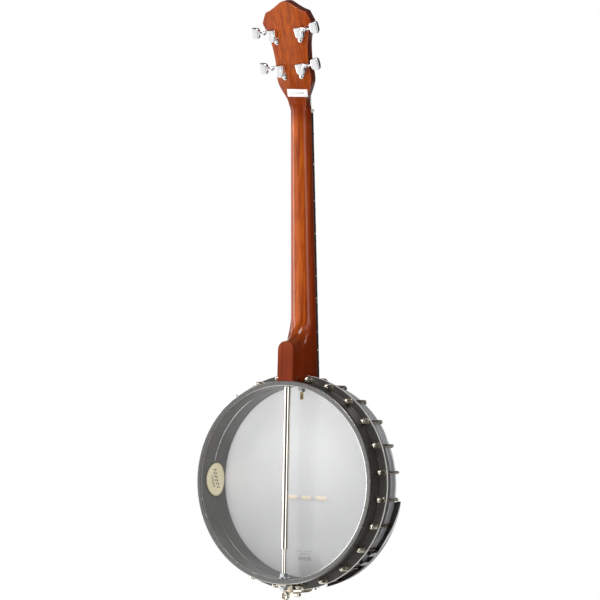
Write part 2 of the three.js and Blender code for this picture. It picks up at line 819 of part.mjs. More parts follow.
// A three-footed bridge: low arches between the feet under a straight top.
function bridge() {
  const shape = new THREE.Shape();
  shape.moveTo(-34, 0);
  shape.lineTo(-15, 0);
  shape.bezierCurveTo(-15, 7, -8.5, 7, -8.5, 0);
  shape.lineTo(8.5, 0);
  shape.bezierCurveTo(8.5, 7, 15, 7, 15, 0);
  shape.lineTo(34, 0);
  shape.lineTo(34, 2.2);
  shape.bezierCurveTo(27, 3.4, 25, 9, 21, 10);
  shape.lineTo(21, BRIDGE_HEIGHT);
  shape.lineTo(-21, BRIDGE_HEIGHT);
  shape.lineTo(-21, 10);
  shape.bezierCurveTo(-25, 9, -27, 3.4, -34, 2.2);
  shape.closePath();
  const body = new THREE.ExtrudeGeometry(shape, {
    depth: 4.6,
    bevelEnabled: false,
    curveSegments: 6,
  });
  return body.rotateX(Math.PI).translate(0, BRIDGE_FOOT_Y, BRIDGE_Z + 2.3);
}

// The tailpiece: a bent strap clamped under the rod's outer nut, led below the flange and up over
// the hoop, where it widens into the plate that holds the strings.
function tailpiece() {
  const strap = [
    [-3.5, -140.9],
    [-19, -140.9],
    [-21.8, -143],
    [-22.4, -149.2],
    [-24.6, -151.6],
    [-62, -151.6],
    [-70.6, -150.4],
    [-76.2, -146.2],
    [-78.2, -140],
    [-78, -132],
    [-76, -116],
    [-72.6, -102],
  ];
  const plate = strap.slice(-3);
  const boss = bar([0, -44, TAIL_SCREW_Z], [0, -51, TAIL_SCREW_Z], 3.8, 12);
  const rodHole = neckBolt(ROD_FOOT[0], -144, -136, ADJUSTER_RADIUS + 0.2 + GAP);
  const screwHole = bar([0, -16, TAIL_SCREW_Z], [0, -60, TAIL_SCREW_Z], 1.6 + GAP, 12);
  return cut(
    join(
      acrossX(stripShape(strap, 1.6), TAIL_HALF),
      acrossX(stripShape(plate, 1.6), TAIL_PLATE_HALF),
      boss,
    ),
    rodHole,
    screwHole,
  );
}

// The hinged lid over the string hooks, with two ears beside the strap.
function tailpieceCover() {
  const lid = [
    [-81.6, -146],
    [-82.2, -138],
    [-81.8, -130],
    [-79.4, -113],
    [-76.8, -99.5],
  ];
  const [hingeY, hingeZ] = TAIL_HINGE;
  const ear = new THREE.Shape([
    new THREE.Vector2(hingeY - 1.9, hingeZ - 1.5),
    new THREE.Vector2(hingeY + 0.2, hingeZ - 3),
    new THREE.Vector2(hingeY + 3, hingeZ - 1.4),
    new THREE.Vector2(hingeY + 3.2, hingeZ + 2),
    new THREE.Vector2(hingeY + 0.6, hingeZ + 9),
    new THREE.Vector2(hingeY - 1.8, hingeZ + 9),
  ]);
  return join(
    acrossX(stripShape(lid, 1.2), TAIL_PLATE_HALF + 1.4),
    acrossX(ear, 0.7, TAIL_HALF + 1.2),
    acrossX(ear, 0.7, -TAIL_HALF - 1.2),
  );
}

function tailpieceScrew() {
  const shank = bar([0, -15, TAIL_SCREW_Z], [0, -50, TAIL_SCREW_Z], 1.6, 10);
  const head = new THREE.LatheGeometry(
    [
      [0, -17],
      [6.2, -17],
      [6.8, -16.2],
      [6.8, -13.8],
      [6, -12.8],
      [0, -12.4],
    ].map(([r, y]) => new THREE.Vector2(r, y)),
    24,
  ).translate(0, 0, TAIL_SCREW_Z);
  return join(shank, head);
}

// ASSEMBLY -------------------------------------------------------------------------------------

addPiece(pot, "rim", rim(), GUNMETAL);
addPiece(pot, "head", head(), FROSTED);
addPiece(pot, "tension_hoop", tensionHoop(), CHROME);
for (let i = 0; i < BRACKET_COUNT; i++) {
  const number = String(i + 1).padStart(2, "0");
  addPiece(pot, `bracket_${number}`, bracket(bracketAngle(i)), NICKEL);
}
addPiece(pot, "armrest", armrest(), CHROME);
addPiece(pot, "rim_label", rimLabel(), CREAM);

addPiece(pot, "coordinator_rod", coordinatorRod(), NICKEL);
addPiece(pot, "rod_adjuster", rodAdjuster(), NICKEL);
addPiece(pot, "rod_inner_nut", rodNut(256, 262.2, 261.9, 263.1), ZINC);
addPiece(pot, "rod_outer_nut", rodNut(274.6, 279.4, 273.8, 274.9), ZINC);
addPiece(pot, "neck_bolt_lower", neckBolt(ROD_TOP[0], 112, 164, LOWER_BOLT_RADIUS), STEEL);
addPiece(pot, "neck_bolt_upper", upperNeckBolt(), BRASS);

addPiece(neckGroup, "neck", neck(), MAHOGANY);
addPiece(neckGroup, "fretboard", fretboard(), ROSEWOOD);
addPiece(neckGroup, "string_nut", stringNut(), BONE);
const veneerBack = HEADSTOCK_FRONT - GAP;
addPiece(
  headstockGroup,
  "headstock_veneer",
  headstockPlate(6.6, veneerBack - VENEER_THICK, veneerBack),
  BLACK,
);
addPiece(headstockGroup, "truss_rod_cover", trussRodCover(), BLACK);
TUNERS.forEach((tuner, i) => {
  addPiece(headstockGroup, `tuner_housing_${i + 1}`, tunerHousing(tuner), CHROME);
  addPiece(headstockGroup, `tuner_button_${i + 1}`, tunerButton(tuner), CHROME);
  addPiece(headstockGroup, `string_post_${i + 1}`, stringPost(tuner), CHROME);
  addPiece(pot, `string_${i + 1}`, playingString(i), STEEL);
});

addPiece(pot, "bridge", bridge(), MAPLE);
addPiece(pot, "tailpiece", tailpiece(), NICKEL);
addPiece(pot, "tailpiece_cover", tailpieceCover(), NICKEL);
addPiece(pot, "tailpiece_screw", tailpieceScrew(), NICKEL);

export default banjo;
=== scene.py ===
"""Looks of the open-back tenor banjo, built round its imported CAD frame.

Shapes are drawn in millimetres and put in place by one of three matrices: POT (origin at the centre of
the rim's back edge, Y to the back, Z up the neck), NECK (origin at the nut, on the fingerboard's
surface) and HEADSTOCK (the neck's frame tipped back).
"""

from math import asin, copysign, cos, pi, radians, sin, sqrt, tan

import bmesh
import bpy
from mathutils import Matrix, Vector
from mathutils.geometry import convex_hull_2d


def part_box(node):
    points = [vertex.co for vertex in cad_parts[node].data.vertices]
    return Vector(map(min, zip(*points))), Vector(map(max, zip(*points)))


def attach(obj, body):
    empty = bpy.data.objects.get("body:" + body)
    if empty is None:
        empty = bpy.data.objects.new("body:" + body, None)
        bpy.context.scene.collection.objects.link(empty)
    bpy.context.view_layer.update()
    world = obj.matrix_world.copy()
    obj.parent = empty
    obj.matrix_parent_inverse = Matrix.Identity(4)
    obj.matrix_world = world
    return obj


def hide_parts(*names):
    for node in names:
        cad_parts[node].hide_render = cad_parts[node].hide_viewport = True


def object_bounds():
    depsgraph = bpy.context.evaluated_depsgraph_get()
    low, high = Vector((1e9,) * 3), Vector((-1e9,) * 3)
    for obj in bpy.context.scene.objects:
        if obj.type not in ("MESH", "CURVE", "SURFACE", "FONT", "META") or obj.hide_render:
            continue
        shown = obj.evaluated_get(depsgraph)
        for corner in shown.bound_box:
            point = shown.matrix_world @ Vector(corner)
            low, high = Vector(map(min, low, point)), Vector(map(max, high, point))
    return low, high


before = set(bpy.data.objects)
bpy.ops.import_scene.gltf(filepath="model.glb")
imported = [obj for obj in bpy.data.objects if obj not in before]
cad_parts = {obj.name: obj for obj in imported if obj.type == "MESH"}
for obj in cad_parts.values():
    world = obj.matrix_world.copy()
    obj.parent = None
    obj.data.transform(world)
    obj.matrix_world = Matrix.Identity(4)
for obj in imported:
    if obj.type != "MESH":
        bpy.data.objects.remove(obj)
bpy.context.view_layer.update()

# CAMERA ---------------------------------------------------------------------------------------

TARGET = Vector((-0.020164, 0.015270, -0.279508))
CAMERA_DISTANCE = 5.0
CAMERA_LENS, CAMERA_SENSOR = 219.51, 36
CAMERA_TURN = radians(31.42)
CAMERA_RISE = radians(-0.827)
CAMERA_ROLL = radians(1.557)


def photo_camera():
    """A camera behind the banjo and a little to its bass side: a long lens, a small roll."""
    level_part = cos(CAMERA_RISE)
    back = Vector((-sin(CAMERA_TURN) * level_part, cos(CAMERA_TURN) * level_part, sin(CAMERA_RISE)))
    level = Vector((0, 0, 1)).cross(back).normalized()
    right = level * cos(CAMERA_ROLL) + back.cross(level) * sin(CAMERA_ROLL)
    up = back.cross(right)
    data = bpy.data.cameras.new("camera")
    data.lens = CAMERA_LENS
    data.sensor_width = CAMERA_SENSOR
    data.clip_end = 200
    cam = bpy.data.objects.new("camera", data)
    turn = Matrix((right, up, back)).transposed().to_4x4()
    cam.matrix_world = Matrix.Translation(TARGET + back * CAMERA_DISTANCE) @ turn
    bpy.context.scene.collection.objects.link(cam)
    bpy.context.scene.camera = cam


photo_camera()

# FRAMES ---------------------------------------------------------------------------------------

MM = 0.001
FLANGE_R = 148.2
NUT_Y, NUT_Z = -31.0, 509.4
LEAN, TILT = radians(4.3), radians(13)
LEAN_SLOPE = tan(LEAN)

rim_low, rim_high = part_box("rim")
POT_Y, POT_Z = rim_high.y, rim_low.z + FLANGE_R * MM
POT = Matrix.Translation((0, POT_Y, POT_Z)) @ Matrix.Scale(MM, 4)
NECK = POT @ Matrix.Translation((0, NUT_Y, NUT_Z)) @ Matrix.Rotation(-LEAN, 4, "X")
HEADSTOCK = NECK @ Matrix.Rotation(-TILT, 4, "X")
TO_POT = POT.inverted() @ NECK


def z_at(height):
    """The scene's z in metres of a height in millimetres over the pot's centre."""
    return POT_Z + height * MM


# SIZES THAT SEVERAL PIECES SHARE, IN MILLIMETRES --------------------------------------------------

BRACKETS = 24
HOOK_R = 143.6
LABEL_Y, LABEL_Z, LABEL_R = -35.5, -1.5, 24.4
SCREW_Z = -155.4
POST_TIP = -17.0
SHAFT_HEIGHT, SHAFT_RISE = 21.5, 4.8
STRING_RADII = [0.15, 0.21, 0.3, 0.4]
NUT_SLOTS = [10.2, 3.4, -3.4, -10.2]
BRIDGE_SLOTS = [14.4, 4.8, -4.8, -14.4]
BRIDGE_Z, BRIDGE_FOOT_Y, BRIDGE_TOP_Y = -24.0, -64.2, -77.2
PEG_SPREAD = 0.8  # a string's peg on the tailpiece, as a share of its place on the bridge

# MATERIALS ------------------------------------------------------------------------------------


class Tree:
    """A node tree with short ways to add to it."""

    def __init__(self, tree):
        self.tree = tree

    def feed(self, socket, source):
        if isinstance(source, (int, float, tuple)):
            socket.default_value = source
        else:
            self.tree.links.new(source, socket)

    def node(self, kind, inputs, **properties):
        """A node with its properties set and its inputs fed, by name or number."""
        made = self.tree.nodes.new(kind)
        for key, value in properties.items():
            setattr(made, key, value)
        for key, source in inputs.items():
            self.feed(made.inputs[key], source)
        return made

    def math(self, operation, a, b=0.0):
        return self.node("ShaderNodeMath", {0: a, 1: b}, operation=operation).outputs[0]

    def plus(self, a, b):
        return self.math("ADD", a, b)

    def minus(self, a, b):
        return self.math("SUBTRACT", a, b)

    def times(self, a, b):
        return self.math("MULTIPLY", a, b)

    def ramp(self, source, low, high, to_low=0.0, to_high=1.0, kind="SMOOTHSTEP"):
        """The source carried from the range low..high to the range to_low..to_high."""
        inputs = {"Value": source, "From Min": low, "From Max": high, "To Min": to_low, "To Max": to_high}
        return self.node("ShaderNodeMapRange", inputs, interpolation_type=kind).outputs["Result"]

    def mix(self, share, a, b):
        """Colour a where share is 0 and b where it is 1."""
        a, b = ((*c, 1.0) if isinstance(c, tuple) else c for c in (a, b))
        return self.node("ShaderNodeMix", {0: share, 6: a, 7: b}, data_type="RGBA").outputs[2]


class Nodes(Tree):
    """A material's nodes. Places are the object's own, in metres."""

    def __init__(self, name, color=(0.8, 0.8, 0.8), rough=0.5, metal=0.0, coat=0.0, specular=0.5):
        self.material = bpy.data.materials.new(name)
        self.material.use_nodes = True
        super().__init__(self.material.node_tree)
        self.shader = self.tree.nodes["Principled BSDF"]
        self.shade("Base Color", (*color, 1.0))
        self.shade("Roughness", rough)
        self.shade("Metallic", metal)
        self.shade("Coat Weight", coat)
        self.shade("Coat Roughness", 0.06)
        self.shade("Specular IOR Level", specular)
        self.place = self.node("ShaderNodeTexCoord", {}).outputs["Object"]

    def shade(self, socket, source):
        self.feed(self.shader.inputs[socket], source)

    def axis(self, index):
        return self.node("ShaderNodeSeparateXYZ", {0: self.place}).outputs[index]

    def stretched(self, scale):
        return self.node("ShaderNodeMapping", {"Vector": self.place, "Scale": scale}).outputs[0]

    def noise(self, where, scale, detail, rough=0.55):
        inputs = {"Vector": where, "Scale": scale, "Detail": detail, "Roughness": rough}
        return self.node("ShaderNodeTexNoise", inputs).outputs["Fac"]

    def bump(self, height, strength, distance):
        inputs = {"Strength": strength, "Distance": distance, "Height": height}
        self.shade("Normal", self.node("ShaderNodeBump", inputs).outputs["Normal"])

    def patch(self, u, v, middle, half, soft):
        """1 inside a rectangle of two coordinates, fading to 0 over its edge."""
        shares = []
        for value, centre, reach in ((u, middle[0], half[0]), (v, middle[1], half[1])):
            off = self.math("ABSOLUTE", self.minus(value, centre))
            shares.append(self.ramp(off, reach - soft, reach + soft, 1.0, 0.0))
        return self.times(*shares)


def hammertone(name, light, dark):
    """Dark grey lacquer with a satin sheen and the fine dimples of a hammered finish."""
    n = Nodes(name, rough=0.36, metal=0.5, coat=0.2)
    n.shade("Coat Roughness", 0.2)
    dimples = n.node("ShaderNodeTexVoronoi", {"Vector": n.place, "Scale": 900}, feature="SMOOTH_F1")
    dimples = dimples.outputs["Distance"]
    broad = n.noise(n.place, 25, 4)
    fleck = n.plus(n.ramp(dimples, 0.2, 0.8), n.times(broad, 0.6))
    n.shade("Base Color", n.mix(n.ramp(fleck, 0.2, 1.3), light, dark))
    n.shade("Roughness", n.ramp(broad, 0.3, 0.7, 0.32, 0.42))
    n.bump(dimples, 0.12, 0.0002)
    return n.material


def metal(name, color, rough, wear=0.05, share=1.0):
    """Plated metal whose polish varies a little. A share below 1 leaves part of it a matt skin."""
    n = Nodes(name, color, rough, share)
    cloud = n.noise(n.place, 90, 5)
    n.shade("Roughness", n.ramp(cloud, 0.3, 0.8, max(rough - wear, 0.02), rough + wear))
    return n.material


DARKER_ENDS_COLOR, OPEN_PORE = (0.20, 0.03, 0.005), (0.05, 0.012, 0.008)


def lacquered_wood(name, middle, side, half_width, streak, rough=0.2, shaded=False):
    """Red-brown lacquered wood: long grain, short pores, darker towards the neck's edges. A shaded one
    is darker on the heel and beside the headstock."""
    n = Nodes(name, rough=rough, coat=0.6, specular=0.05)
    grain = n.noise(n.stretched((260, 260, 9)), 1.0, 6, 0.6)
    pores = n.noise(n.stretched((1500, 1500, 60)), 1.0, 2)
    bands = n.noise(n.stretched((170, 60, 4)), 1.0, 3)
    off_centre = n.math("ABSOLUTE", n.axis(0))
    edge = n.ramp(off_centre, half_width * 0.35 * MM, half_width * MM)
    base = n.mix(edge, middle, side)
    if shaded:
        z = n.axis(2)
        on_heel = n.ramp(z, z_at(165), z_at(235), 1.0, 0.0)
        by_nut = n.ramp(z, z_at(486), z_at(512))
        by_nut = n.times(by_nut, n.ramp(z, z_at(524), z_at(565), 0.9, 0.0))
        dark = n.math("MAXIMUM", on_heel, by_nut)
        base = n.mix(dark, base, DARKER_ENDS_COLOR)
        n.shade("Coat Weight", n.ramp(dark, 0.0, 1.0, 0.6, 0.3))
    lines = n.ramp(n.plus(n.times(grain, 0.6), n.times(bands, 0.5)), 0.38, 0.72)
    blotch = n.noise(n.stretched((55, 55, 26)), 1.0, 3)
    base = n.mix(n.ramp(blotch, 0.35, 0.7, 0.0, 0.42), base, side)
    darker = n.mix(n.times(lines, streak), base, (side[0] * 0.45, side[1] * 0.4, side[2] * 0.5))
    spots = n.times(n.ramp(pores, 0.6, 0.72), 0.35)
    n.shade("Base Color", n.mix(spots, darker, OPEN_PORE))
    n.bump(pores, 0.03, 0.0002)
    return n.material


def bare_wood(name, light, dark, rough, scale=(300, 300, 12)):
    """Unlacquered wood, its grain long in the direction whose scale is small."""
    n = Nodes(name, rough=rough, specular=0.15)
    grain = n.noise(n.stretched(scale), 1.0, 6, 0.6)
    n.shade("Base Color", n.mix(n.ramp(grain, 0.35, 0.7), light, dark))
    n.bump(grain, 0.06, 0.0002)
    return n.material


def plain(name, color, rough, coat=0.0):
    """One even colour, very faintly mottled."""
    mottle = 0.06
    n = Nodes(name, rough=rough, coat=coat)
    cloud = n.noise(n.place, 140, 4)
    light = tuple(min(c * (1 + mottle), 1.0) for c in color)
    dark = tuple(c * (1 - mottle) for c in color)
    n.shade("Base Color", n.mix(n.ramp(cloud, 0.3, 0.7), light, dark))
    return n.material


def frosted_film():
    """Frosted film with a soft gloss. Paler patches of painted light mark where the bridge's feet show
    through it, and it carries three short lines of dashes."""
    n = Nodes("frosted_film", rough=0.6, coat=0.9, specular=0.3)
    n.shade("Coat Roughness", 0.12)
    n.shade("Coat IOR", 1.45)
    x, z = n.axis(0), n.axis(2)
    cloud = n.noise(n.place, 14, 3)
    color = n.mix(n.ramp(cloud, 0.3, 0.7), (0.70, 0.705, 0.71), (0.67, 0.675, 0.68))
    # lighter towards the top: painted light
    color = n.mix(n.ramp(z, z_at(-70), z_at(110)), color, (0.95, 0.955, 0.96))
    for middle, half in ((-24, 9), (0, 7.2), (24, 9)):  # painted light where the bridge's feet show through
        foot = n.patch(x, z, (middle * MM, z_at(-22)), (half * MM, 2.7 * MM), 0.6 * MM)
        color = n.mix(n.times(foot, 0.9), color, (0.98, 0.90, 0.74))
    dashes = n.ramp(n.noise(n.stretched((700, 1, 500)), 1.0, 0), 0.42, 0.5)
    for row, half, high in ((-96, 14, 0.8), (-99.5, 9, 0.7), (-106.5, 10.5, 2.4)):  # lines of dashes
        line = n.patch(x, z, (0, z_at(row)), (half * MM, high * MM), 0.5 * MM)
        color = n.mix(n.times(n.times(line, dashes), 0.6), color, (0.22, 0.22, 0.22))
    n.shade("Base Color", color)
    n.shade("Transmission Weight", 0.4)
    n.shade("IOR", 1.15)
    return n.material


def paper_label():
    """A cream label with a dark ring round its edge, a thin ring, a squiggle and two fine lines."""
    n = Nodes("paper_label", rough=0.6)
    y = n.minus(n.axis(1), POT_Y + LABEL_Y * MM)
    z = n.minus(n.axis(2), z_at(LABEL_Z))
    radius = n.math("SQRT", n.plus(n.times(y, y), n.times(z, z)))
    ink = n.ramp(radius, 22.7 * MM, 23.3 * MM)
    off_ring = n.math("ABSOLUTE", n.minus(radius, 21.9 * MM))
    ink = n.math("MAXIMUM", ink, n.ramp(off_ring, 0.1 * MM, 0.4 * MM, 0.5, 0.0))
    down = n.plus(n.times(y, -0.42), n.times(z, -0.91))
    across = n.plus(n.times(y, 0.91), n.times(z, -0.42))
    wave = n.times(n.math("SINE", n.times(down, 1150.0)), 2.8 * MM)
    for place, reach, size in ((-2.5, 15, 1.0), (5.5, 9, 0.25), (8.5, 7, 0.15)):
        bent = n.minus(across, n.times(wave, size))
        line = n.patch(down, bent, (0, place * MM), (reach * MM, (0.85 * size + 0.3) * MM), 0.35 * MM)
        ink = n.math("MAXIMUM", ink, line)
    cloud = n.noise(n.place, 60, 3)
    base = n.mix(n.ramp(cloud, 0.3, 0.7), (1.0, 0.92, 0.66), (0.95, 0.85, 0.58))
    n.shade("Base Color", n.mix(ink, base, (0.10, 0.07, 0.04)))
    return n.material


def paper_sticker():
    """A white paper strip with one faint grey line."""
    n = Nodes("paper_sticker", rough=0.5)
    x, z = n.axis(0), n.axis(2)
    dashes = n.ramp(n.noise(n.stretched((900, 1, 1)), 1.0, 1), 0.45, 0.5)
    middle = HEADSTOCK @ Vector((-1.9, 15.6, 30.6))
    line = n.patch(x, z, (middle.x, middle.z), (11.5 * MM, 1.1 * MM), 0.4 * MM)
    paper = n.mix(n.noise(n.place, 300, 2), (0.88, 0.88, 0.88), (0.84, 0.84, 0.84))
    ink = n.times(n.times(line, dashes), 0.7)
    n.shade("Base Color", n.mix(ink, paper, (0.25, 0.25, 0.32)))
    return n.material


HAMMERTONE = hammertone("hammertone", (0.18, 0.177, 0.169), (0.122, 0.119, 0.113))
# a darker copy of the rim's lacquer for its outer wall and flange: painted shade
HAMMERTONE_PAINTED_SHADE = hammertone("hammertone_painted_shade", (0.088, 0.083, 0.076), (0.058, 0.054, 0.049))
# a pale metal laid along the rim's edge bevels and fillet: painted highlight lines
EDGE_HIGHLIGHT_METAL = metal("edge_painted_highlight", (0.62, 0.62, 0.61), 0.26)
CHROME = metal("chrome", (0.83, 0.84, 0.85), 0.08, 0.03)
SATIN_CHROME = metal("satin_chrome", (0.86, 0.87, 0.89), 0.14, 0.03, 0.6)
# a darker copy of the nickel for the hooks: painted shade
NICKEL_SHADED_COPY = metal("nickel_painted_shade", (0.36, 0.32, 0.27), 0.2)
POLISHED_NICKEL = metal("polished_nickel", (0.90, 0.86, 0.78), 0.09, 0.02)
NICKEL = metal("nickel", (0.86, 0.80, 0.67), 0.12)
ZINC = metal("zinc", (0.78, 0.80, 0.82), 0.3)
BRASS = metal("brass", (0.72, 0.60, 0.34), 0.25)
STEEL = metal("string_steel", (0.66, 0.66, 0.64), 0.28)
FRET_WIRE = metal("fret_wire", (0.74, 0.73, 0.70), 0.2)
COLLAR = metal("collar_aluminium", (0.75, 0.76, 0.77), 0.35)
NECK_HALF, HEADSTOCK_HALF = 18, 38
MAHOGANY = lacquered_wood(
    "mahogany", (0.56, 0.118, 0.012), (0.28, 0.031, 0.003), NECK_HALF, 0.7, shaded=True
)
# a darker copy of the headstock's wood for its sides: painted shade
HEADSTOCK_SIDE_SHADE = lacquered_wood(
    "headstock_side_painted_shade", (0.18, 0.028, 0.006), (0.13, 0.018, 0.004), HEADSTOCK_HALF, 0.4, 0.4
)
# a paler copy of the wood for the bevel round the headstock's back: painted highlight
HEADSTOCK_BEVEL_HIGHLIGHT = lacquered_wood(
    "headstock_edge_painted_highlight", (0.42, 0.09, 0.03), (0.36, 0.07, 0.02), HEADSTOCK_HALF, 0.3, 0.1
)
HEADSTOCK_WOOD = lacquered_wood(
    "headstock_mahogany", (0.46, 0.09, 0.006), (0.33, 0.047, 0.004), HEADSTOCK_HALF, 0.7, shaded=True
)
FINGERBOARD = bare_wood("fingerboard", (0.03, 0.019, 0.014), (0.012, 0.008, 0.006), 0.45)
MAPLE = bare_wood("maple", (0.76, 0.56, 0.33), (0.62, 0.42, 0.22), 0.45, (12, 300, 300))
EBONY = bare_wood("ebony", (0.03, 0.026, 0.024), (0.012, 0.011, 0.010), 0.35, (12, 300, 300))
BLACK = plain("black_gloss", (0.012, 0.012, 0.012), 0.12, 0.5)
# near black for holes and recesses: painted shade
HOLE_SHADE = plain("painted_shade_recess", (0.01, 0.01, 0.01), 0.6)
# a pale colour for the flange's outer edge: painted highlight
FLANGE_RIM_HIGHLIGHT = plain("flange_edge_painted_highlight", (0.74, 0.73, 0.70), 0.4)
# near black for the armrest's inner face: painted shade
ARMREST_INNER_SHADE = plain("armrest_painted_shade", (0.03, 0.024, 0.02), 0.7)
BONE = plain("bone", (0.84, 0.79, 0.66), 0.35)
PEARL = plain("pearl", (0.80, 0.80, 0.78), 0.25, 0.3)
FILM = frosted_film()
LABEL = paper_label()
STICKER = paper_sticker()

# SHAPES ---------------------------------------------------------------------------------------
# A shape is (vertices, faces) in millimetres.


def shift(x, y, z):
    return Matrix.Translation((x, y, z))


def turned(degrees, axis):
    """A turn about one of the drawing's axes."""
    return Matrix.Rotation(radians(degrees), 4, axis)


def moved(shape, matrix):
    """The shape carried to another place by a matrix."""
    points, faces = shape
    return [matrix @ Vector(p) for p in points], faces


def loft(rings, closed=True, ends=True):
    """A skin over rows of points; closed joins each row's last point to its first."""
    count = len(rings[0])
    points = [Vector(p) for ring in rings for p in ring]
    last = count if closed else count - 1
    faces = []
    for r in range(len(rings) - 1):
        for i in range(last):
            a, b = r * count + i, r * count + (i + 1) % count
            faces.append((a, b, b + count, a + count))
    if ends:
        faces.append(tuple(range(count))[::-1])
        faces.append(tuple((len(rings) - 1) * count + i for i in range(count)))
    return points, faces


def spun(profile, a):
    """A profile of (radius, y) turned about the Y axis by an angle."""
    return [(r * sin(a), y, r * cos(a)) for r, y in profile]


def lathe(profile, steps, loop=False):
    """A profile of (radius, y) turned all the way round. loop closes the profile on itself."""
    rings = [spun(profile, 2 * pi * s / steps) for s in range(steps + 1)]
    return loft(rings, closed=loop, ends=False)


def along(start, end):
    """The matrix that carries the Y axis onto the line from start to end."""
    a, b = Vector(start), Vector(end)
    turn = Vector((0, 1, 0)).rotation_difference((b - a).normalized()).to_matrix().to_4x4()
    return Matrix.Translation(a) @ turn


def rod(start, end, radius, sides=32, chamfer=0.3):
    """A round bar between two points, its ends chamfered."""
    length = (Vector(end) - Vector(start)).length
    profile = [(0, 0), (radius - chamfer, 0), (radius, chamfer)]
    profile += [(radius, length - chamfer), (radius - chamfer, length), (0, length)]
    return moved(lathe(profile, sides), along(start, end))


def thread(start, end, radius, pitch, depth, sides=32):
    """A threaded bar, its turns drawn as close rings."""
    length = (Vector(end) - Vector(start)).length
    core = radius - depth
    profile = [(0, 0), (core, 0)]
    turns = int(length / pitch)
    for i in range(turns):
        profile += [(core, (i + 0.08) * pitch), (radius, (i + 0.5) * pitch)]
    profile += [(core, turns * pitch), (core, length), (0, length)]
    return moved(lathe(profile, sides), along(start, end))


def hexagon(start, end, flats, bore, chamfer=0.8, dome=0.0):
    """A chamfered hexagon nut between two points, half as wide as flats across; dome rounds the far
    end into a closed cap of that height."""
    length = (Vector(end) - Vector(start)).length
    corner = flats / cos(pi / 6)
    heights = [0, chamfer * 0.5, chamfer, length - chamfer, length - chamfer * 0.5, length]
    limits = [flats * 0.98, flats * 1.07, corner, corner, flats * 1.07, flats * 0.98]
    top = [(bore, length)]
    if dome:
        top = [(flats * 0.94 * cos(t), length + dome * sin(t)) for t in (0.0, 0.35, 0.7, 1.05, 1.35)]
        top.append((0, length + dome))
    steps = 48
    rings = []
    for s in range(steps + 1):
        a = 2 * pi * s / steps
        wall = flats / cos((a + pi / 6) % (pi / 3) - pi / 6)
        side = [(min(wall, limit), y) for y, limit in zip(heights, limits)]
        rings.append(spun([(bore, 0)] + side + top, a))
    return moved(loft(rings, closed=bool(bore), ends=False), along(start, end))


def prism(outline, low, high, axis="Y"):
    """An outline of pairs given depth along Y, or along X for an outline of (y, z) pairs."""
    if axis == "X":
        return loft([[(level, a, b) for a, b in outline] for level in (low, high)])
    return loft([[(a, level, b) for a, b in outline] for level in (low, high)])


def box(low, high):
    """A block between its lowest and highest corners."""
    (x0, y0, z0), (x1, y1, z1) = low, high
    return prism([(x0, z0), (x1, z0), (x1, z1), (x0, z1)], y0, y1)


def rounded(shape, width, segments, angle=30):
    """The shape with each edge sharper than an angle in degrees bevelled."""
    mesh = bmesh.new()
    points, faces = shape
    made = [mesh.verts.new(p) for p in points]
    for face in faces:
        mesh.faces.new([made[i] for i in face])
    bmesh.ops.remove_doubles(mesh, verts=mesh.verts, dist=1e-4)
    bmesh.ops.recalc_face_normals(mesh, faces=mesh.faces)
    joined = [e for e in mesh.edges if len(e.link_faces) == 2]
    sharp = [e for e in joined if e.calc_face_angle(0) > radians(angle)]
    bmesh.ops.bevel(
        mesh, geom=sharp, offset=width, segments=segments, profile=0.5, affect="EDGES", clamp_overlap=True
    )
    mesh.verts.index_update()
    points = [v.co.copy() for v in mesh.verts]
    faces = [tuple(v.index for v in f.verts) for f in mesh.faces]
    mesh.free()
    return points, faces


def sweep(path, sizes, sides, up=(1, 0, 0)):
    """A tube along a path; sizes is its radius, or one (half width along up, half thickness) a point."""
    points = [Vector(p) for p in path]
    if isinstance(sizes, (int, float)):
        sizes = [(sizes, sizes)] * len(points)
    turns = [2 * pi * k / sides for k in range(sides)]
    side = Vector(up)
    rings = []
    for i, point in enumerate(points):
        ahead = points[min(i + 1, len(points) - 1)] - points[max(i - 1, 0)]
        ahead.normalize()
        side = (side - ahead * side.dot(ahead)).normalized()
        third = ahead.cross(side)
        wide, thick = sizes[i]
        rings.append([point + side * wide * cos(a) + third * thick * sin(a) for a in turns])
    return loft(rings)


def curve(corners, steps):
    """A smooth line through its corners, with that many steps from each to the next."""
    points = [Vector(c) for c in corners]
    padded = [points[0] * 2 - points[1], *points, points[-1] * 2 - points[-2]]
    line = []
    for i in range(1, len(padded) - 2):
        p0, p1, p2, p3 = padded[i - 1 : i + 3]
        square, cube = p0 * 2 - p1 * 5 + p2 * 4 - p3, p1 * 3 - p0 - p2 * 3 + p3
        for s in range(steps):
            t = s / steps
            line.append(0.5 * (p1 * 2 + (p2 - p0) * t + square * t * t + cube * t**3))
    line.append(points[-1])
    return line


def flat_curve(corners, steps):
    """A smooth line through corners that are pairs."""
    return [(p[0], p[1]) for p in curve([(*c, 0) for c in corners], steps)]


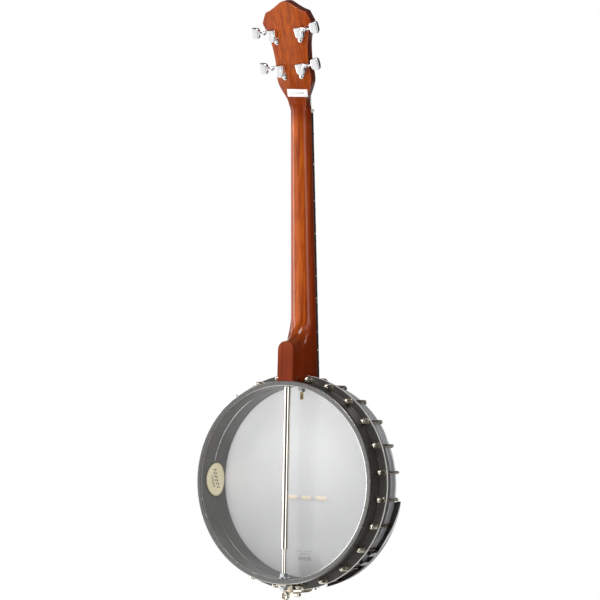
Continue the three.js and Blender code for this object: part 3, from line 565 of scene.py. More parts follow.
class Piece:
    """Collects shapes of one piece, each with its material, then makes the object."""

    def __init__(self, name, slot, *replaces, body="banjo", place=POT):
        self.name, self.slot, self.replaces, self.body, self.place = name, slot, replaces, body, place
        self.points, self.faces, self.looks, self.materials = [], [], [], []

    def add(self, shape, look, *places):
        """Adds a shape as drawn, or once at each of some places."""
        if look not in self.materials:
            self.materials.append(look)
        for points, faces in [moved(shape, place) for place in places] or [shape]:
            start = len(self.points)
            self.points += [Vector(p) for p in points]
            self.faces += [tuple(start + i for i in face) for face in faces]
            self.looks += [self.materials.index(look)] * len(faces)

    def add_screw(self, centre, normal, radius, height, look):
        """A low domed head with a cross recess, drawn as near-black bars of painted shade."""
        profile = [(0, 0), (radius, 0), (radius, height * 0.35)]
        profile += [(radius * cos(t), height * (0.35 + 0.65 * sin(t))) for t in (0.4, 0.8, 1.2)]
        profile.append((0, height))
        centre = Vector(centre)
        place = along(centre, centre + Vector(normal).normalized() * height)
        self.add(lathe(profile, 24), look, place)
        long, short, low, high = radius * 0.6, radius * 0.12, height * 0.9, height * 1.02
        for x, z in ((long, short), (short, long)):
            self.add(box((-x, low, -z), (x, high, z)), HOLE_SHADE, place)

    def make(self, sharp=35):
        """Makes the object, smooth except at edges over sharp degrees, sets it on its body and hides the
        CAD parts it replaces.
        """
        mesh = bpy.data.meshes.new(self.name)
        mesh.from_pydata([self.place @ p for p in self.points], [], self.faces)
        for material in self.materials:
            mesh.materials.append(material)
        mesh.polygons.foreach_set("material_index", self.looks)
        editing = bmesh.new()
        editing.from_mesh(mesh)
        bmesh.ops.remove_doubles(editing, verts=editing.verts, dist=1e-7)
        bmesh.ops.dissolve_degenerate(editing, edges=editing.edges, dist=1e-7)
        bmesh.ops.recalc_face_normals(editing, faces=editing.faces)
        editing.to_mesh(mesh)
        editing.free()
        mesh.shade_smooth()
        mesh.set_sharp_from_angle(angle=radians(sharp))
        obj = bpy.data.objects.new(self.name, mesh)
        bpy.context.scene.collection.objects.link(obj)
        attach(obj, self.body)
        if self.replaces:
            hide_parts(*self.replaces)


def around(degrees):
    """Turns a shape drawn at the top of the pot to an angle from the neck towards the bass side."""
    return turned(-degrees, "Y")


# POT ------------------------------------------------------------------------------------------

# sides of the rim's profile, by number, that look different from its inner wall; the outside takes a darker
# copy of the lacquer as painted shade
OUTSIDE = range(9, 26)
# the flange's outer edge, pale as a painted highlight
FLANGE_EDGE = range(14, 17)
# profile sides given the pale metal as painted highlight lines
HIGHLIGHT_SIDES = (20, 26, 27, 29, 30)
STEP = 1  # the step in the inner wall, with a painted highlight only on the half towards the neck


def rim_look(side, upper):
    """The material of a side of the profile, on the half towards the neck (upper) or the other one."""
    if side in HIGHLIGHT_SIDES or (side == STEP and upper):
        return EDGE_HIGHLIGHT_METAL
    if side in FLANGE_EDGE:
        return FLANGE_RIM_HIGHLIGHT
    return HAMMERTONE_PAINTED_SHADE if side in OUTSIDE else HAMMERTONE


def rim():
    """The cast rim: back bead, wall, thin flange, the seat the head is drawn over, and the round marks
    that the mould's ejectors left on its back face."""
    piece = Piece("rim_casting", "hammertone", "rim")
    profile = [(132.5, -0.9), (132.5, -29.9), (132.0, -30.5), (132.0, -59.5), (132.5, -61.3)]
    profile += [(133.3, -62.5), (134.2, -62.9), (135.0, -62.4), (135.2, -61.6), (135.2, -48.6)]
    profile += [(137.2, -46.6), (137.2, -34.8), (137.8, -34.2), (146.8, -34.0), (147.8, -33.6)]
    profile += [(FLANGE_R, -32.9), (FLANGE_R, -30.7), (147.8, -30.0), (146.9, -29.6), (139.6, -28.9)]
    profile += [(138.7, -28.5), (138.4, -27.6), (138.4, -9.4), (138.7, -8.4), (139.5, -7.4)]
    profile += [(139.7, -6.6), (139.7, -1.1), (139.4, -0.35), (138.7, 0), (133.4, 0), (132.75, -0.3)]
    points, faces = lathe(profile, 240, loop=True)
    by_look = {}
    for k, face in enumerate(faces):
        look = rim_look(k % len(profile), points[face[0]][2] > 0)
        by_look.setdefault(look, []).append(face)
    for look, chosen in by_look.items():
        piece.add((points, chosen), look)
    mark = lathe([(0, 0.06), (1.1, 0.06), (1.25, 0.16), (1.6, 0.16), (1.75, 0)], 20)
    marks, first, mark_r = 24, 3, 136.1
    spots = [around(first + 360 / marks * i) @ shift(0, 0, mark_r) for i in range(marks)]
    piece.add(mark, HAMMERTONE, *spots)
    piece.make(25)


def head():
    """Film drawn flat over the rim, down into its collar."""
    piece = Piece("head_film", "frosted_film", "head")
    film = [(0, -63.9), (60, -63.9), (110, -63.9), (133.9, -63.9), (135.0, -63.6), (135.7, -62.9)]
    film += [(135.9, -62.0), (136.0, -53.2), (135.7, -53.2), (135.6, -62.0), (135.3, -62.7)]
    film += [(134.8, -63.2), (133.9, -63.45), (110, -63.5), (60, -63.5), (0, -63.5)]
    piece.add(lathe(film, 180), FILM)
    collar = [(135.7, -53.3), (140.4, -53.3), (140.9, -52.9), (141.0, -52.3), (141.0, -50.6)]
    collar += [(140.8, -50.1), (140.2, -49.8), (135.9, -49.8), (135.6, -50.3)]
    piece.add(lathe(collar, 180, loop=True), COLLAR)
    piece.make(30)


def tension_hoop():
    """A flat bar hoop with softened edges, lower where the fingerboard's end meets it."""
    full, low, notch, steps = -69.7, -60.2, asin(21.2 / 139), 240
    end = 2 * pi - notch
    angles = [2 * pi * s / steps for s in range(steps)]
    stations = [(a, full if notch < a < end else low) for a in angles]
    stations += [(notch - 1e-5, low), (notch, full), (end, full), (end + 1e-5, low)]
    stations.sort()
    rings = []
    for a, front in [*stations, (2 * pi, low)]:
        row = [(136.7, -53.7), (136.5, -53.9), (136.5, front + 0.9), (136.8, front + 0.3), (137.4, front)]
        row += [(138.6, front + 0.1), (139.8, front + 0.6), (140.6, front + 1.6), (141.1, front + 3.2)]
        row += [(141.3, front * 0.5 - 31.0), (141.1, -57.6), (140.6, -55.2), (139.9, -54.1)]
        rings.append(spun(row + [(138.8, -53.7)], a))
    piece = Piece("hoop_band", "chrome_plate", "tension_hoop")
    piece.add(loft(rings, closed=True, ends=False), SATIN_CHROME)
    piece.make(30)


def bracket_angle(index):
    """Even steps round the pot, but the two beside the heel stand a little away from it."""
    return (index + 0.5) * 360 / BRACKETS + {0: 1.8, BRACKETS - 1: -1.8}.get(index, 0)


def brackets():
    """Hooks bent over the hoop, each drawn back by a closed hexagon nut behind the flange."""
    path = [(0, -19.5, HOOK_R), (0, -45, HOOK_R), (0, -66.5, HOOK_R), (0, -69.6, 143.1)]
    path += [(0, -71.2, 141.8), (0, -71.5, 139.6), (0, -71.4, 137.4), (0, -71.0, 136.1)]
    sizes = [(2.0, 2.0)] * 3 + [(2.1, 1.8), (2.3, 1.5), (2.4, 1.35), (2.4, 1.3), (2.1, 0.9)]
    hook = sweep(path, sizes, 16)
    threaded = thread((0, -37, HOOK_R), (0, -34.2, HOOK_R), 2.08, 0.7, 0.3, 20)
    washer = [(2.1, -29.4), (4.1, -29.4), (4.2, -29.2), (4.2, -28.6), (4.1, -28.4), (2.1, -28.4)]
    washer = moved(lathe(washer, 28, True), shift(0, 0, HOOK_R))
    nut = hexagon((0, -28.4, HOOK_R), (0, -16.0, HOOK_R), 3.28, 0, 0.5, dome=2.7)
    for i in range(BRACKETS):
        name = f"bracket_{i + 1:02d}"
        piece = Piece(f"{name}_hook", "nickel_plate", name)
        # the hooks and their threads take the darker nickel: painted shade
        for shape, look in ((hook, NICKEL_SHADED_COPY), (threaded, NICKEL_SHADED_COPY), (washer, NICKEL), (nut, NICKEL)):
            piece.add(shape, look, around(bracket_angle(i)))
        piece.make(28)


def armrest():
    """A polished shell from beyond the hoop to over the head, pointed at both ends, on two clamps."""
    start, end, steps = 98.5, 167.5, 96
    middle, half = (start + end) / 2, (end - start) / 2
    corners = [(148.2, -63.5), (148.25, -68), (147.6, -73.4), (144.6, -77.2), (138, -79.5)]
    corners += [(126, -80.5), (112, -80.1), (111.6, -79.3), (112, -78.6), (126, -79.1), (137.6, -77.9)]
    corners += [(143.7, -75.8), (146.4, -72.0), (146.9, -68), (146.9, -63.5)]
    line = flat_curve(corners, 4)
    inside_from = 26  # the section's first side on the shell's inner face
    tip_r, tip_y = 146.8, -73.6
    rings = []
    for i in range(steps + 1):
        s = -cos(pi * i / steps)
        size = 0.05 + 0.95 * sqrt(max(1 - s * s, 0))
        angle = radians(middle + half * s)
        ring = []
        for r, y in line:
            blend = min(max((r - 136) / 8, 0), 1)
            share = size * (1 - blend) + sqrt(size) * blend
            radius = tip_r + (r - tip_r) * share
            ring.append((-radius * sin(angle), tip_y + (y - tip_y) * sqrt(size), radius * cos(angle)))
        rings.append(ring)
    piece = Piece("armrest_shell", "chrome_plate", "armrest")
    points, faces = loft(rings)
    count = len(line)
    inner = {f for k, f in enumerate(faces) if k < steps * count and k % count >= inside_from}
    piece.add((points, [f for f in faces if f not in inner]), CHROME)
    # the shell's inner face is near black: painted shade
    piece.add((points, [f for f in faces if f in inner]), ARMREST_INNER_SHADE)
    leg = rounded(box((-3.2, -66, 146.9), (3.2, -50.4, FLANGE_R + 0.2)), 0.4, 2)
    foot = rounded(box((-3.2, -50.6, 142.4), (3.2, -49.1, FLANGE_R + 0.2)), 0.4, 2)
    barrel = rod((0, -57, 145.0), (0, -57, FLANGE_R + 0.2), 2.2, 20)
    for degrees in (middle - 3.2, middle + 3.8):
        for shape in (leg, foot, barrel):
            piece.add(shape, CHROME, around(degrees))
    piece.make(30)


def rim_label():
    """The round label follows the curve of the wall."""
    rings = []
    columns = 20
    for k in range(columns + 1):
        rise = -LABEL_R * cos(pi * k / columns)
        z = LABEL_Z + rise
        reach = sqrt(max(LABEL_R**2 - rise**2, 0))
        x = sqrt(131.75**2 - z * z)
        rings.append([(x, LABEL_Y + reach * t, z) for t in (-1, -0.6, -0.2, 0.2, 0.6, 1)])
    piece = Piece("label_paper", "paper", "rim_label")
    piece.add(loft(rings, closed=False, ends=False), LABEL)
    piece.make(60)


# ROD AND BOLTS --------------------------------------------------------------------------------

ROD_TOP = Vector((0, -6.6, 131.6))
ROD_FOOT = Vector((0, -10.6, -131.9))
BOLT_END = 163


def rod_point(distance):
    """A point on the rod's axis, by its distance from the top."""
    return ROD_TOP + (ROD_FOOT - ROD_TOP).normalized() * distance


def coordinator_rod():
    """The plated tube, with the cross hole that a bar turns it by, drawn as near-black patches of painted
    shade.
    """
    piece = Piece("rod_tube", "nickel_plate", "coordinator_rod")
    length = 222.6
    profile = [(3.5, 0), (4.4, 0), (4.75, 0.4), (4.75, length - 0.6), (4.3, length), (3.5, length)]
    piece.add(lathe(profile, 48, loop=True), POLISHED_NICKEL, along(rod_point(0.4), rod_point(223)))
    for degrees in (-30, 150):
        hole = moved(lathe([(0, 4.78), (1.4, 4.6)], 20), turned(degrees, "Z"))
        piece.add(hole, HOLE_SHADE, Matrix.Translation(rod_point(141)))
    piece.make(30)


def rod_ends():
    """The adjuster in the rod's foot, held to the rim by a nut and washer on each side."""
    adjuster = Piece("rod_adjuster_bar", "nickel_plate", "rod_adjuster")
    adjuster.add(rod(rod_point(196), rod_point(257), 3.0), POLISHED_NICKEL)
    adjuster.add(thread(rod_point(256), rod_point(279.6), 3.1, 1.0, 0.4), NICKEL)
    adjuster.make(25)
    flats, bore = 5.5, 3.35
    washer = lathe([(3.4, 0), (7.7, 0), (8.0, 0.3), (8.0, 0.9), (7.7, 1.2), (3.4, 1.2)], 40, True)
    inner = Piece("rod_nut_inside", "zinc_plate", "rod_inner_nut")
    inner.add(hexagon(rod_point(256.2), rod_point(261.8), flats, bore), ZINC)
    inner.add(washer, ZINC, along(rod_point(261.8), rod_point(263.1)))
    inner.make(30)
    outer = Piece("rod_nut_outside", "zinc_plate", "rod_outer_nut")
    outer.add(washer, ZINC, along(rod_point(273.8), rod_point(275)))
    outer.add(hexagon(rod_point(274.9), rod_point(279.3), flats, bore), ZINC)
    outer.make(30)


def neck_bolts():
    """The bolt from the heel into the rod's top, and the one above it with its nut and washer."""
    lower = Piece("bolt_in_rod", "steel", "neck_bolt_lower")
    lower.add(rod((0, ROD_TOP.y, 112), (0, ROD_TOP.y, BOLT_END), 3.0), STEEL)
    lower.make()
    upper = Piece("bolt_above_rod", "brass", "neck_bolt_upper")
    y, shank_from = -44.8, 125
    upper.add(thread((0, y, 113.6), (0, y, shank_from), 2.5, 0.9, 0.35), BRASS)
    upper.add(rod((0, y, shank_from), (0, y, BOLT_END), 2.4), BRASS)
    upper.add(hexagon((0, y, 124.2), (0, y, 129), 4.5, 0, 0.7), STEEL)
    washer = [(2.4, 0), (5.4, 0), (5.6, 0.2), (5.6, 2.2), (5.4, 2.4), (2.4, 2.4)]
    upper.add(lathe(washer, 32, True), STEEL, along((0, y, 129), (0, y, 131.4)))
    upper.make()


# NECK -----------------------------------------------------------------------------------------

NECK_END = -(NUT_Z - 141.3) / cos(LEAN)
CAP_Y, CAP_HALF, CAP_TOP = 1.5, 12.2, 193.6
SIDE_COLUMNS, CAP_COLUMNS = 14, 14
COLUMNS = 2 * SIDE_COLUMNS + CAP_COLUMNS
SIDE_ARC = 62  # degrees of the neck's D-shaped back that its side columns cover
HALF_AT_NUT, HALF_AT_END = 14.8, 19.6


def neck_half(z):
    """Half the neck's width at a height along it, wider towards the heel."""
    return HALF_AT_NUT + (HALF_AT_END - HALF_AT_NUT) * max(-z, -6) / -NECK_END


def smooth_step(t):
    """0 to 1 with level ends as t goes from 0 to 1."""
    t = min(max(t, 0.0), 1.0)
    return t * t * (3 - 2 * t)


def neck_row(z):
    """One D-shaped row of the neck in the pot frame, from bass edge to treble edge."""
    half = neck_half(z)
    if z > 0:
        half -= 1.5 * smooth_step(z / 12)
    front = 6 + 0.27 * max(z, 0)
    back = 21 + 1.6 * max(-z, 0) / -NECK_END
    shoulder = front + 1.6
    row = [(-half, front, z)]
    for i in range(1, COLUMNS):
        if i <= SIDE_COLUMNS:
            degrees = 180 - SIDE_ARC * (i - 1) / (SIDE_COLUMNS - 1)
        elif i >= SIDE_COLUMNS + CAP_COLUMNS:
            degrees = SIDE_ARC * (COLUMNS - 1 - i) / (SIDE_COLUMNS - 1)
        else:
            degrees = 180 - SIDE_ARC - (180 - 2 * SIDE_ARC) * (i - SIDE_COLUMNS) / CAP_COLUMNS
        a = radians(degrees)
        across = copysign(abs(cos(a)) ** 0.9, cos(a))
        depth = shoulder + (back - shoulder) * max(sin(a), 0) ** 0.92
        row.append((half * across, min(depth, 21 - 0.3 * (z - 4)) if z > 4 else depth, z))
    row.append((half, front, z))
    return [TO_POT @ Vector(p) for p in row]


def heel_side(z, share):
    """A point of the heel's treble side at a height z: share 0 at the fingerboard, 1 at the cap."""
    depth = -LEAN_SLOPE * (NUT_Z - z) + NUT_Y + 6.0
    edge = Vector((neck_half(-(NUT_Z - z) / cos(LEAN)), depth, z))
    part = 1 - share
    point = edge.lerp(Vector((CAP_HALF, CAP_Y, z)), share)
    point.x = CAP_HALF + (edge.x - CAP_HALF) * (0.45 * part + 0.55 * sin(part * pi / 2))
    return point


def heel_row(z, arc):
    """A row across the heel. arc is the height of the cap's rounded end above z on the centre line."""
    half_row = [heel_side(z, i / SIDE_COLUMNS) for i in range(SIDE_COLUMNS + 1)]
    row = [Vector((-p.x, p.y, p.z)) for p in half_row]
    for i in range(1, CAP_COLUMNS):
        a = pi * (1 - i / CAP_COLUMNS)
        row.append(Vector((CAP_HALF * cos(a), CAP_Y, z + arc * sin(a) ** 0.9)))
    return row + half_row[::-1]


def flare(above, below, steps):
    """Rows that leave one row down the neck and arrive at another, bent back towards the heel's cap."""
    down = (TO_POT.to_3x3() @ Vector((0, 0, -1))).normalized()
    rows = []
    for step in range(1, steps):
        t = step / steps
        row = []
        for i in range(COLUMNS + 1):
            share = min(i, COLUMNS - i) / SIDE_COLUMNS
            lift = smooth_step((share - 0.25) / 0.75) if share < 1 else 1.0
            arrive = down.lerp(Vector((0, 1, -0.1)), lift).normalized()
            reach = (below[i] - above[i]).length
            t0 = down * reach * (1.0 + 0.35 * lift)
            t1 = arrive * reach * (1.0 + 0.25 * lift)
            point = above[i] * (2 * t**3 - 3 * t**2 + 1) + t0 * (t**3 - 2 * t**2 + t)
            row.append(point + below[i] * (3 * t**2 - 2 * t**3) + t1 * (t**3 - t**2))
        rows.append(row)
    return rows


def neck():
    """Shaft and heel. The shaft's back runs on past the nut as a tongue that dips into the headstock;
    the heel sweeps out to a flat cap with a round end."""
    tongue = (25, 16, 14, 13, 12, 11, 10, 9, 8.5, 8, 7.5, 7, 6.5, 6, 5, 2.5)
    flare_from = -(NUT_Z - 233) / cos(LEAN)
    rows = [neck_row(z) for z in tongue] + [neck_row(flare_from * i / 36) for i in range(37)]
    cap_line = CAP_TOP - CAP_HALF
    rows += flare(rows[-1], heel_row(cap_line, CAP_HALF), 24)
    rows += [heel_row(cap_line, CAP_HALF * share) for share in (1, 0.75, 0.5, 0.25)]
    rows += [heel_row(z, 0) for z in (cap_line, 172, 162, 152, 144)]
    end = []
    for p in rows[-1]:
        wall = 141.5 if p.y < -48 else 138.2 if p.y < -9 else 139.5
        end.append(Vector((p.x, p.y, sqrt(wall**2 - p.x**2))))
    piece = Piece("neck_wood", "mahogany", "neck")
    piece.add(rounded(loft([*rows, end]), 0.7, 3, 48), MAHOGANY)
    piece.make(40)


# HEADSTOCK, FINGERBOARD AND NUT -----------------------------------------------------------------

# half the headstock's outline, as (across, along) pairs: its side, then its top
OUTLINE_LOW = [(13.9, 8), (13.6, 12), (15.4, 22), (21.4, 33.5), (25.8, 43), (27.3, 53), (26.2, 70)]
OUTLINE_LOW += [(28.4, 97), (33.6, 115), (39.0, 128.6)]
OUTLINE_TOP = [(38.9, 129.4), (32.9, 142.6), (31.8, 143.7), (24.5, 146.6), (16, 151.6), (8.5, 156.6)]
OUTLINE_TOP += [(4.5, 158.2), (0, 158.6)]
SCALE_LENGTH = 533.4


def headstock_outline(start, inset=0.0):
    """The headstock from just past the nut to its peak, as (across, along) pairs."""
    right = flat_curve([(14.4, start), *OUTLINE_LOW], 5)[:-1]
    right += OUTLINE_TOP[:3] + flat_curve(OUTLINE_TOP[3:], 4)
    right = [(x - inset if x > inset else x, u) for x, u in right]
    return right + [(-x, u) for x, u in right[-2::-1]]


def shrunk(outline, inset):
    """The outline drawn in by an even distance."""
    count = len(outline)
    result = []
    for i in range(count):
        p, q, r = (Vector(outline[j % count]) for j in (i - 1, i, i + 1))
        before, after = (q - p).normalized(), (r - q).normalized()
        normal = Vector((-before.y - after.y, before.x + after.x)).normalized()
        result.append(tuple(q + normal * inset / max(normal.dot(Vector((-before.y, before.x))), 0.6)))
    return result


def headstock():
    """The wood with its softened back edge, the face veneer, and the sticker."""
    wood = Piece("headstock_wood", "mahogany", place=HEADSTOCK)
    outline = headstock_outline(5)
    rings = []
    for inset, level in ((0, 3.9), (0, 9), (0, 14.4), (0.12, 14.9), (0.45, 15.3), (1.0, 15.5)):
        taper = 0.16 * max(level - 9, 0) / 6.5
        rings.append([(x * (1 - taper * max(14 - u, 0) / 9), level, u) for x, u in shrunk(outline, inset)])
    # the sides take the darker wood: painted shade
    wood.add(loft(rings[:3], ends=False), HEADSTOCK_SIDE_SHADE)
    # the bevel takes the paler wood: painted highlight
    wood.add(loft(rings[2:], ends=False), HEADSTOCK_BEVEL_HIGHLIGHT)
    for ring in (rings[-1], rings[0]):
        wood.add((ring, [tuple(range(len(ring)))]), HEADSTOCK_WOOD)
    wood.make(40)
    front = Piece("headstock_face", "black_gloss", "headstock_veneer", place=HEADSTOCK)
    front.add(rounded(prism(headstock_outline(6.7, 0.2), 2.4, 3.9), 0.35, 2, 50), BLACK)
    front.make(40)
    sticker = Piece("serial_sticker", "paper", place=HEADSTOCK)
    sheet = rounded(box((-18.0, 15.5, 25.6), (14.2, 15.62, 36.2)), 0.04, 1)
    sticker.add(sheet, STICKER, turned(-1.6, "Y"))
    sticker.make(50)


def truss_cover():
    """A bell-shaped black plate with a pale rim under it, on three screws."""
    piece = Piece("truss_cover", "black_gloss", "truss_rod_cover", place=HEADSTOCK)
    right = [(8, 11), (8, 19)]
    for i in range(1, 13):
        t = i / 12
        b = [(1 - t) ** 3, 3 * t * (1 - t) ** 2, 3 * t * t * (1 - t), t**3]
        x = 8 * b[0] + 8 * b[1] + 3.4 * b[2] + 2.2 * b[3]
        right.append((x, 19 * b[0] + 27 * b[1] + 30 * b[2] + 40 * b[3]))
    outline = right + [(-x, u) for x, u in right[::-1]]
    small = [(x * 0.9, 11.8 + (u - 11) * 0.945) for x, u in outline]
    piece.add(rounded(prism(outline, 1.4, 2.1), 0.15, 1), BONE)
    piece.add(rounded(prism(small, 0.9, 1.5), 0.25, 2), BLACK)
    for x, u in ((0, 37.2), (-5.4, 14.4), (5.4, 14.4)):
        piece.add_screw((x, 0.95, u), (0, -1, 0), 1.2, 0.7, NICKEL)
    piece.make(35)


def fret_z(number):
    """A fret's place down the neck from the nut, in equal temperament."""
    return -SCALE_LENGTH * (1 - 2 ** (-number / 12))


def fingerboard():
    """Dark board with crowned frets, pearl dots on its face and along its bass edge."""
    piece = Piece("fingerboard", "dark_fingerboard", "fretboard", place=NECK)
    rows = []
    for z in (-0.3, -120, -240, -340, NECK_END + 6, NECK_END - 0.4):
        half = neck_half(z)
        right = [(half * 0.5, 0), (half - 0.5, 0.05), (half, 0.5), (half, 5.9)]
        left = [(-x, y) for x, y in right[::-1]]
        rows.append([(x, y, z) for x, y in left + [(0, 0)] + right])
    piece.add(loft(rows), FINGERBOARD)
    rise = [(0.4, 1.1), (-0.25, 1.1), (-0.7, 0.8), (-0.95, 0.35)]
    ends = [(0.1, 0.75), (0.7, 0.2), (1.4, 0.0)]
    for number in range(1, 20):
        z, half = fret_z(number), neck_half(fret_z(number))
        crown = [(y, z - w) for y, w in rise] + [(-0.98, z)] + [(y, z + w) for y, w in rise[::-1]]
        stations = [(inset - half, drop) for inset, drop in ends]
        stations += [(half - inset, drop) for inset, drop in ends[::-1]]
        piece.add(loft([[(x, min(y + drop, 0.4), w) for y, w in crown] for x, drop in stations]), FRET_WIRE)
    disc = lathe([(0, -0.06), (2.9, -0.06), (3.0, 0.0), (3.0, 0.4)], 28)
    pin = lathe([(0, -0.08), (0.9, -0.08), (1.0, 0.0), (1.0, 0.4)], 16)
    for number in (3, 5, 7, 10, 12, 15, 17):
        z = (fret_z(number) + fret_z(number - 1)) / 2
        pair = (-1, 1) if number == 12 else (0,)
        piece.add(disc, PEARL, *[shift(7.5 * side, 0, z) for side in pair])
        edge = [shift(-neck_half(z), 3.0, z + 2.2 * side) for side in pair]
        piece.add(pin, PEARL, *[at @ turned(-90, "Z") for at in edge])
    piece.make(30)


def notched(slots, half, wide):
    """Stations along a notched edge from -half to half, each with whether it is down in a notch."""
    stations = [(-half, False)]
    for x in sorted(slots):
        stations += [(x - wide, False), (x - 0.35, True), (x + 0.35, True), (x + wide, False)]
    return [*stations, (half, False)]


def string_nut():
    """A rounded bar of bone with a notch for each string."""
    rings = []
    for x, in_notch in notched(NUT_SLOTS, 14.7, 0.55):
        sunk = 0.55 if in_notch else 0.0
        row = [(5.6, 0.15), (-1.3 + sunk, 0.15), (-1.75 + sunk, 0.6), (-1.7 + sunk, 2.0)]
        row += [(-1.2 + sunk, 3.4), (-0.3, 4.4), (5.6, 4.4)]
        rings.append([(x, y, z) for y, z in row])
    piece = Piece("bone_nut", "bone", "string_nut", place=NECK)
    piece.add(loft(rings), BONE)
    piece.make(30)


# TUNERS ---------------------------------------------------------------------------------------

# side, post's distance from the centre line and height up the headstock, housing's turn in degrees
TUNERS = [(1, 17, 62, 0), (1, 22.5, 111.5, 0), (-1, 22.5, 114.5, 8), (-1, 17, 64, 8)]
BUTTON_REACH = 25.5


def tuner_place(tuner, with_turn=True):
    """A tuner part is drawn for the treble side round its own post and mirrored for the bass side."""
    side, across, up_headstock, turn = tuner
    place = HEADSTOCK @ shift(side * across, 0, up_headstock)
    if with_turn:
        place = place @ turned(-side * turn, "Y")
    return place @ Matrix.Diagonal((side, 1, 1, 1))


def arc(centre, radius, start, end, steps):
    """Points on an arc between two angles in degrees."""
    angles = [radians(start + (end - start) * i / steps) for i in range(steps + 1)]
    return [(centre[0] + radius * cos(a), centre[1] + radius * sin(a)) for a in angles]


def tuner_housing(number, tuner):
    """A sealed housing with a rounded lower end, a screw ear at its lower inner corner, a turned
    boss for the shaft, and the threaded bushing on the headstock's face."""
    name = f"tuner_housing_{number}"
    piece = Piece(f"tuner_{number}_housing", "chrome_plate", name, place=tuner_place(tuner))
    outline = [(6.6, 9.2), (-6.6, 9.2), *arc((0, -1.2), 6.6, 180, 360, 20)]
    piece.add(rounded(prism(outline, 15.85, 24.5), 1.5, 4, 40), CHROME)
    lid = [(0, 24.72), (5.0, 24.72), (5.3, 24.4), (5.4, 24.1)]
    piece.add(lathe(lid, 36), CHROME, shift(0, 0, -1.4))
    corners = arc((-0.3, -1.2), 6.3, 180, 360, 20) + arc((-4.4, -9.6), 3.1, 120, 360, 24)
    plate = [corners[i] for i in convex_hull_2d(corners)]
    piece.add(rounded(prism(plate, 15.8, 18.2), 0.6, 2, 40), CHROME)
    piece.add_screw((-4.4, 17.7, -9.7), (0, 1, 0), 2.0, 1.1, CHROME)
    boss = [(2.75, 0), (3.7, 0), (3.7, 1.6), (3.2, 2.2), (3.4, 2.8), (3.4, 3.4), (3.1, 3.8), (2.75, 3.8)]
    at = along((4.8, SHAFT_HEIGHT, SHAFT_RISE), (8.6, SHAFT_HEIGHT, SHAFT_RISE))
    piece.add(lathe(boss, 32, True), CHROME, at)
    washer = [(3.25, 2.4), (6.5, 2.4), (6.7, 2.2), (6.7, 1.9), (6.4, 1.7), (3.25, 1.7)]
    piece.add(lathe(washer, 40, True), CHROME)
    piece.add(hexagon((0, 1.8, 0), (0, -0.9, 0), 4.9, 3.25, 0.5), CHROME)
    piece.make(32)


def tuner_button(number, tuner):
    """The worm shaft with two collars and a flat-sided button."""
    body, name = f"button_{number}", f"tuner_button_{number}"
    piece = Piece(f"tuner_{number}_button", "chrome_plate", name, body=body, place=tuner_place(tuner))
    shaft = [(0, 0), (2.35, 0), (2.35, 6.6), (3.0, 6.8), (3.25, 7.4), (3.0, 8.0), (2.2, 8.3), (2.2, 8.9)]
    shaft += [(3.0, 9.2), (3.2, 9.7), (2.7, 10.2), (2.0, 10.6), (2.0, 14), (2.6, 17), (2.6, 20), (0, 20)]
    at = along((2.6, SHAFT_HEIGHT, SHAFT_RISE), (22.6, SHAFT_HEIGHT, SHAFT_RISE))
    piece.add(lathe(shaft, 28), CHROME, at)
    half = [(-6.6, 0), (-6.6, 4.2), (-5.7, 6.2), (-3.8, 7.4), (2.0, 8.3), (4.2, 8.1), (5.8, 6.8)]
    half += [(6.4, 4.8), (6.5, 0)]
    outline = [(a + BUTTON_REACH, b + SHAFT_RISE) for a, b in half]
    outline += [(a + BUTTON_REACH, SHAFT_RISE - b) for a, b in half[-2:0:-1]]
    button = prism(outline, SHAFT_HEIGHT - 3.2, SHAFT_HEIGHT + 3.2)
    piece.add(rounded(button, 1.5, 4, 50), CHROME)
    piece.make(35)


def string_post(number, tuner):
    """A post with a string hole near its tip, drawn as near-black patches of painted shade, and a few turns
    of string wound on it.
    """
    body, name = f"post_{number}", f"string_post_{number}"
    place = tuner_place(tuner, with_turn=False)
    piece = Piece(f"tuner_{number}_post", "chrome_plate", name, body=body, place=place)
    tip = POST_TIP
    profile = [(0, tip + 0.35), (1.6, tip + 0.1), (2.5, tip), (2.95, tip + 0.5), (3.0, tip + 1.6)]
    profile += [(2.7, tip + 2.6), (2.6, tip + 5), (2.6, tip + 8), (2.8, tip + 9.4), (3.0, tip + 10.4)]
    profile += [(3.0, 17.8), (0, 17.8)]
    piece.add(lathe(profile, 32), CHROME)
    for side in (-1, 1):
        hole = moved(lathe([(0, 2.68), (0.75, 2.6)], 14), turned(side * 90, "X"))
        piece.add(hole, HOLE_SHADE, shift(0, tip + 3.6, 0))
    radius = STRING_RADII[number - 1]
    wound = min(2.62 + radius, 3.75 - radius)
    coil = []
    turns, steps = 4, 20
    for i in range(turns * steps + 1):
        a = 2 * pi * i / steps + pi
        coil.append((wound * cos(a), tip + 7.2 - i / steps * 2.15 * radius, wound * sin(a)))
    piece.add(sweep(coil, max(radius, 0.2), 8, (0, 1, 0)), STEEL)
    piece.make(35)


# STRINGS, BRIDGE AND TAILPIECE ------------------------------------------------------------------


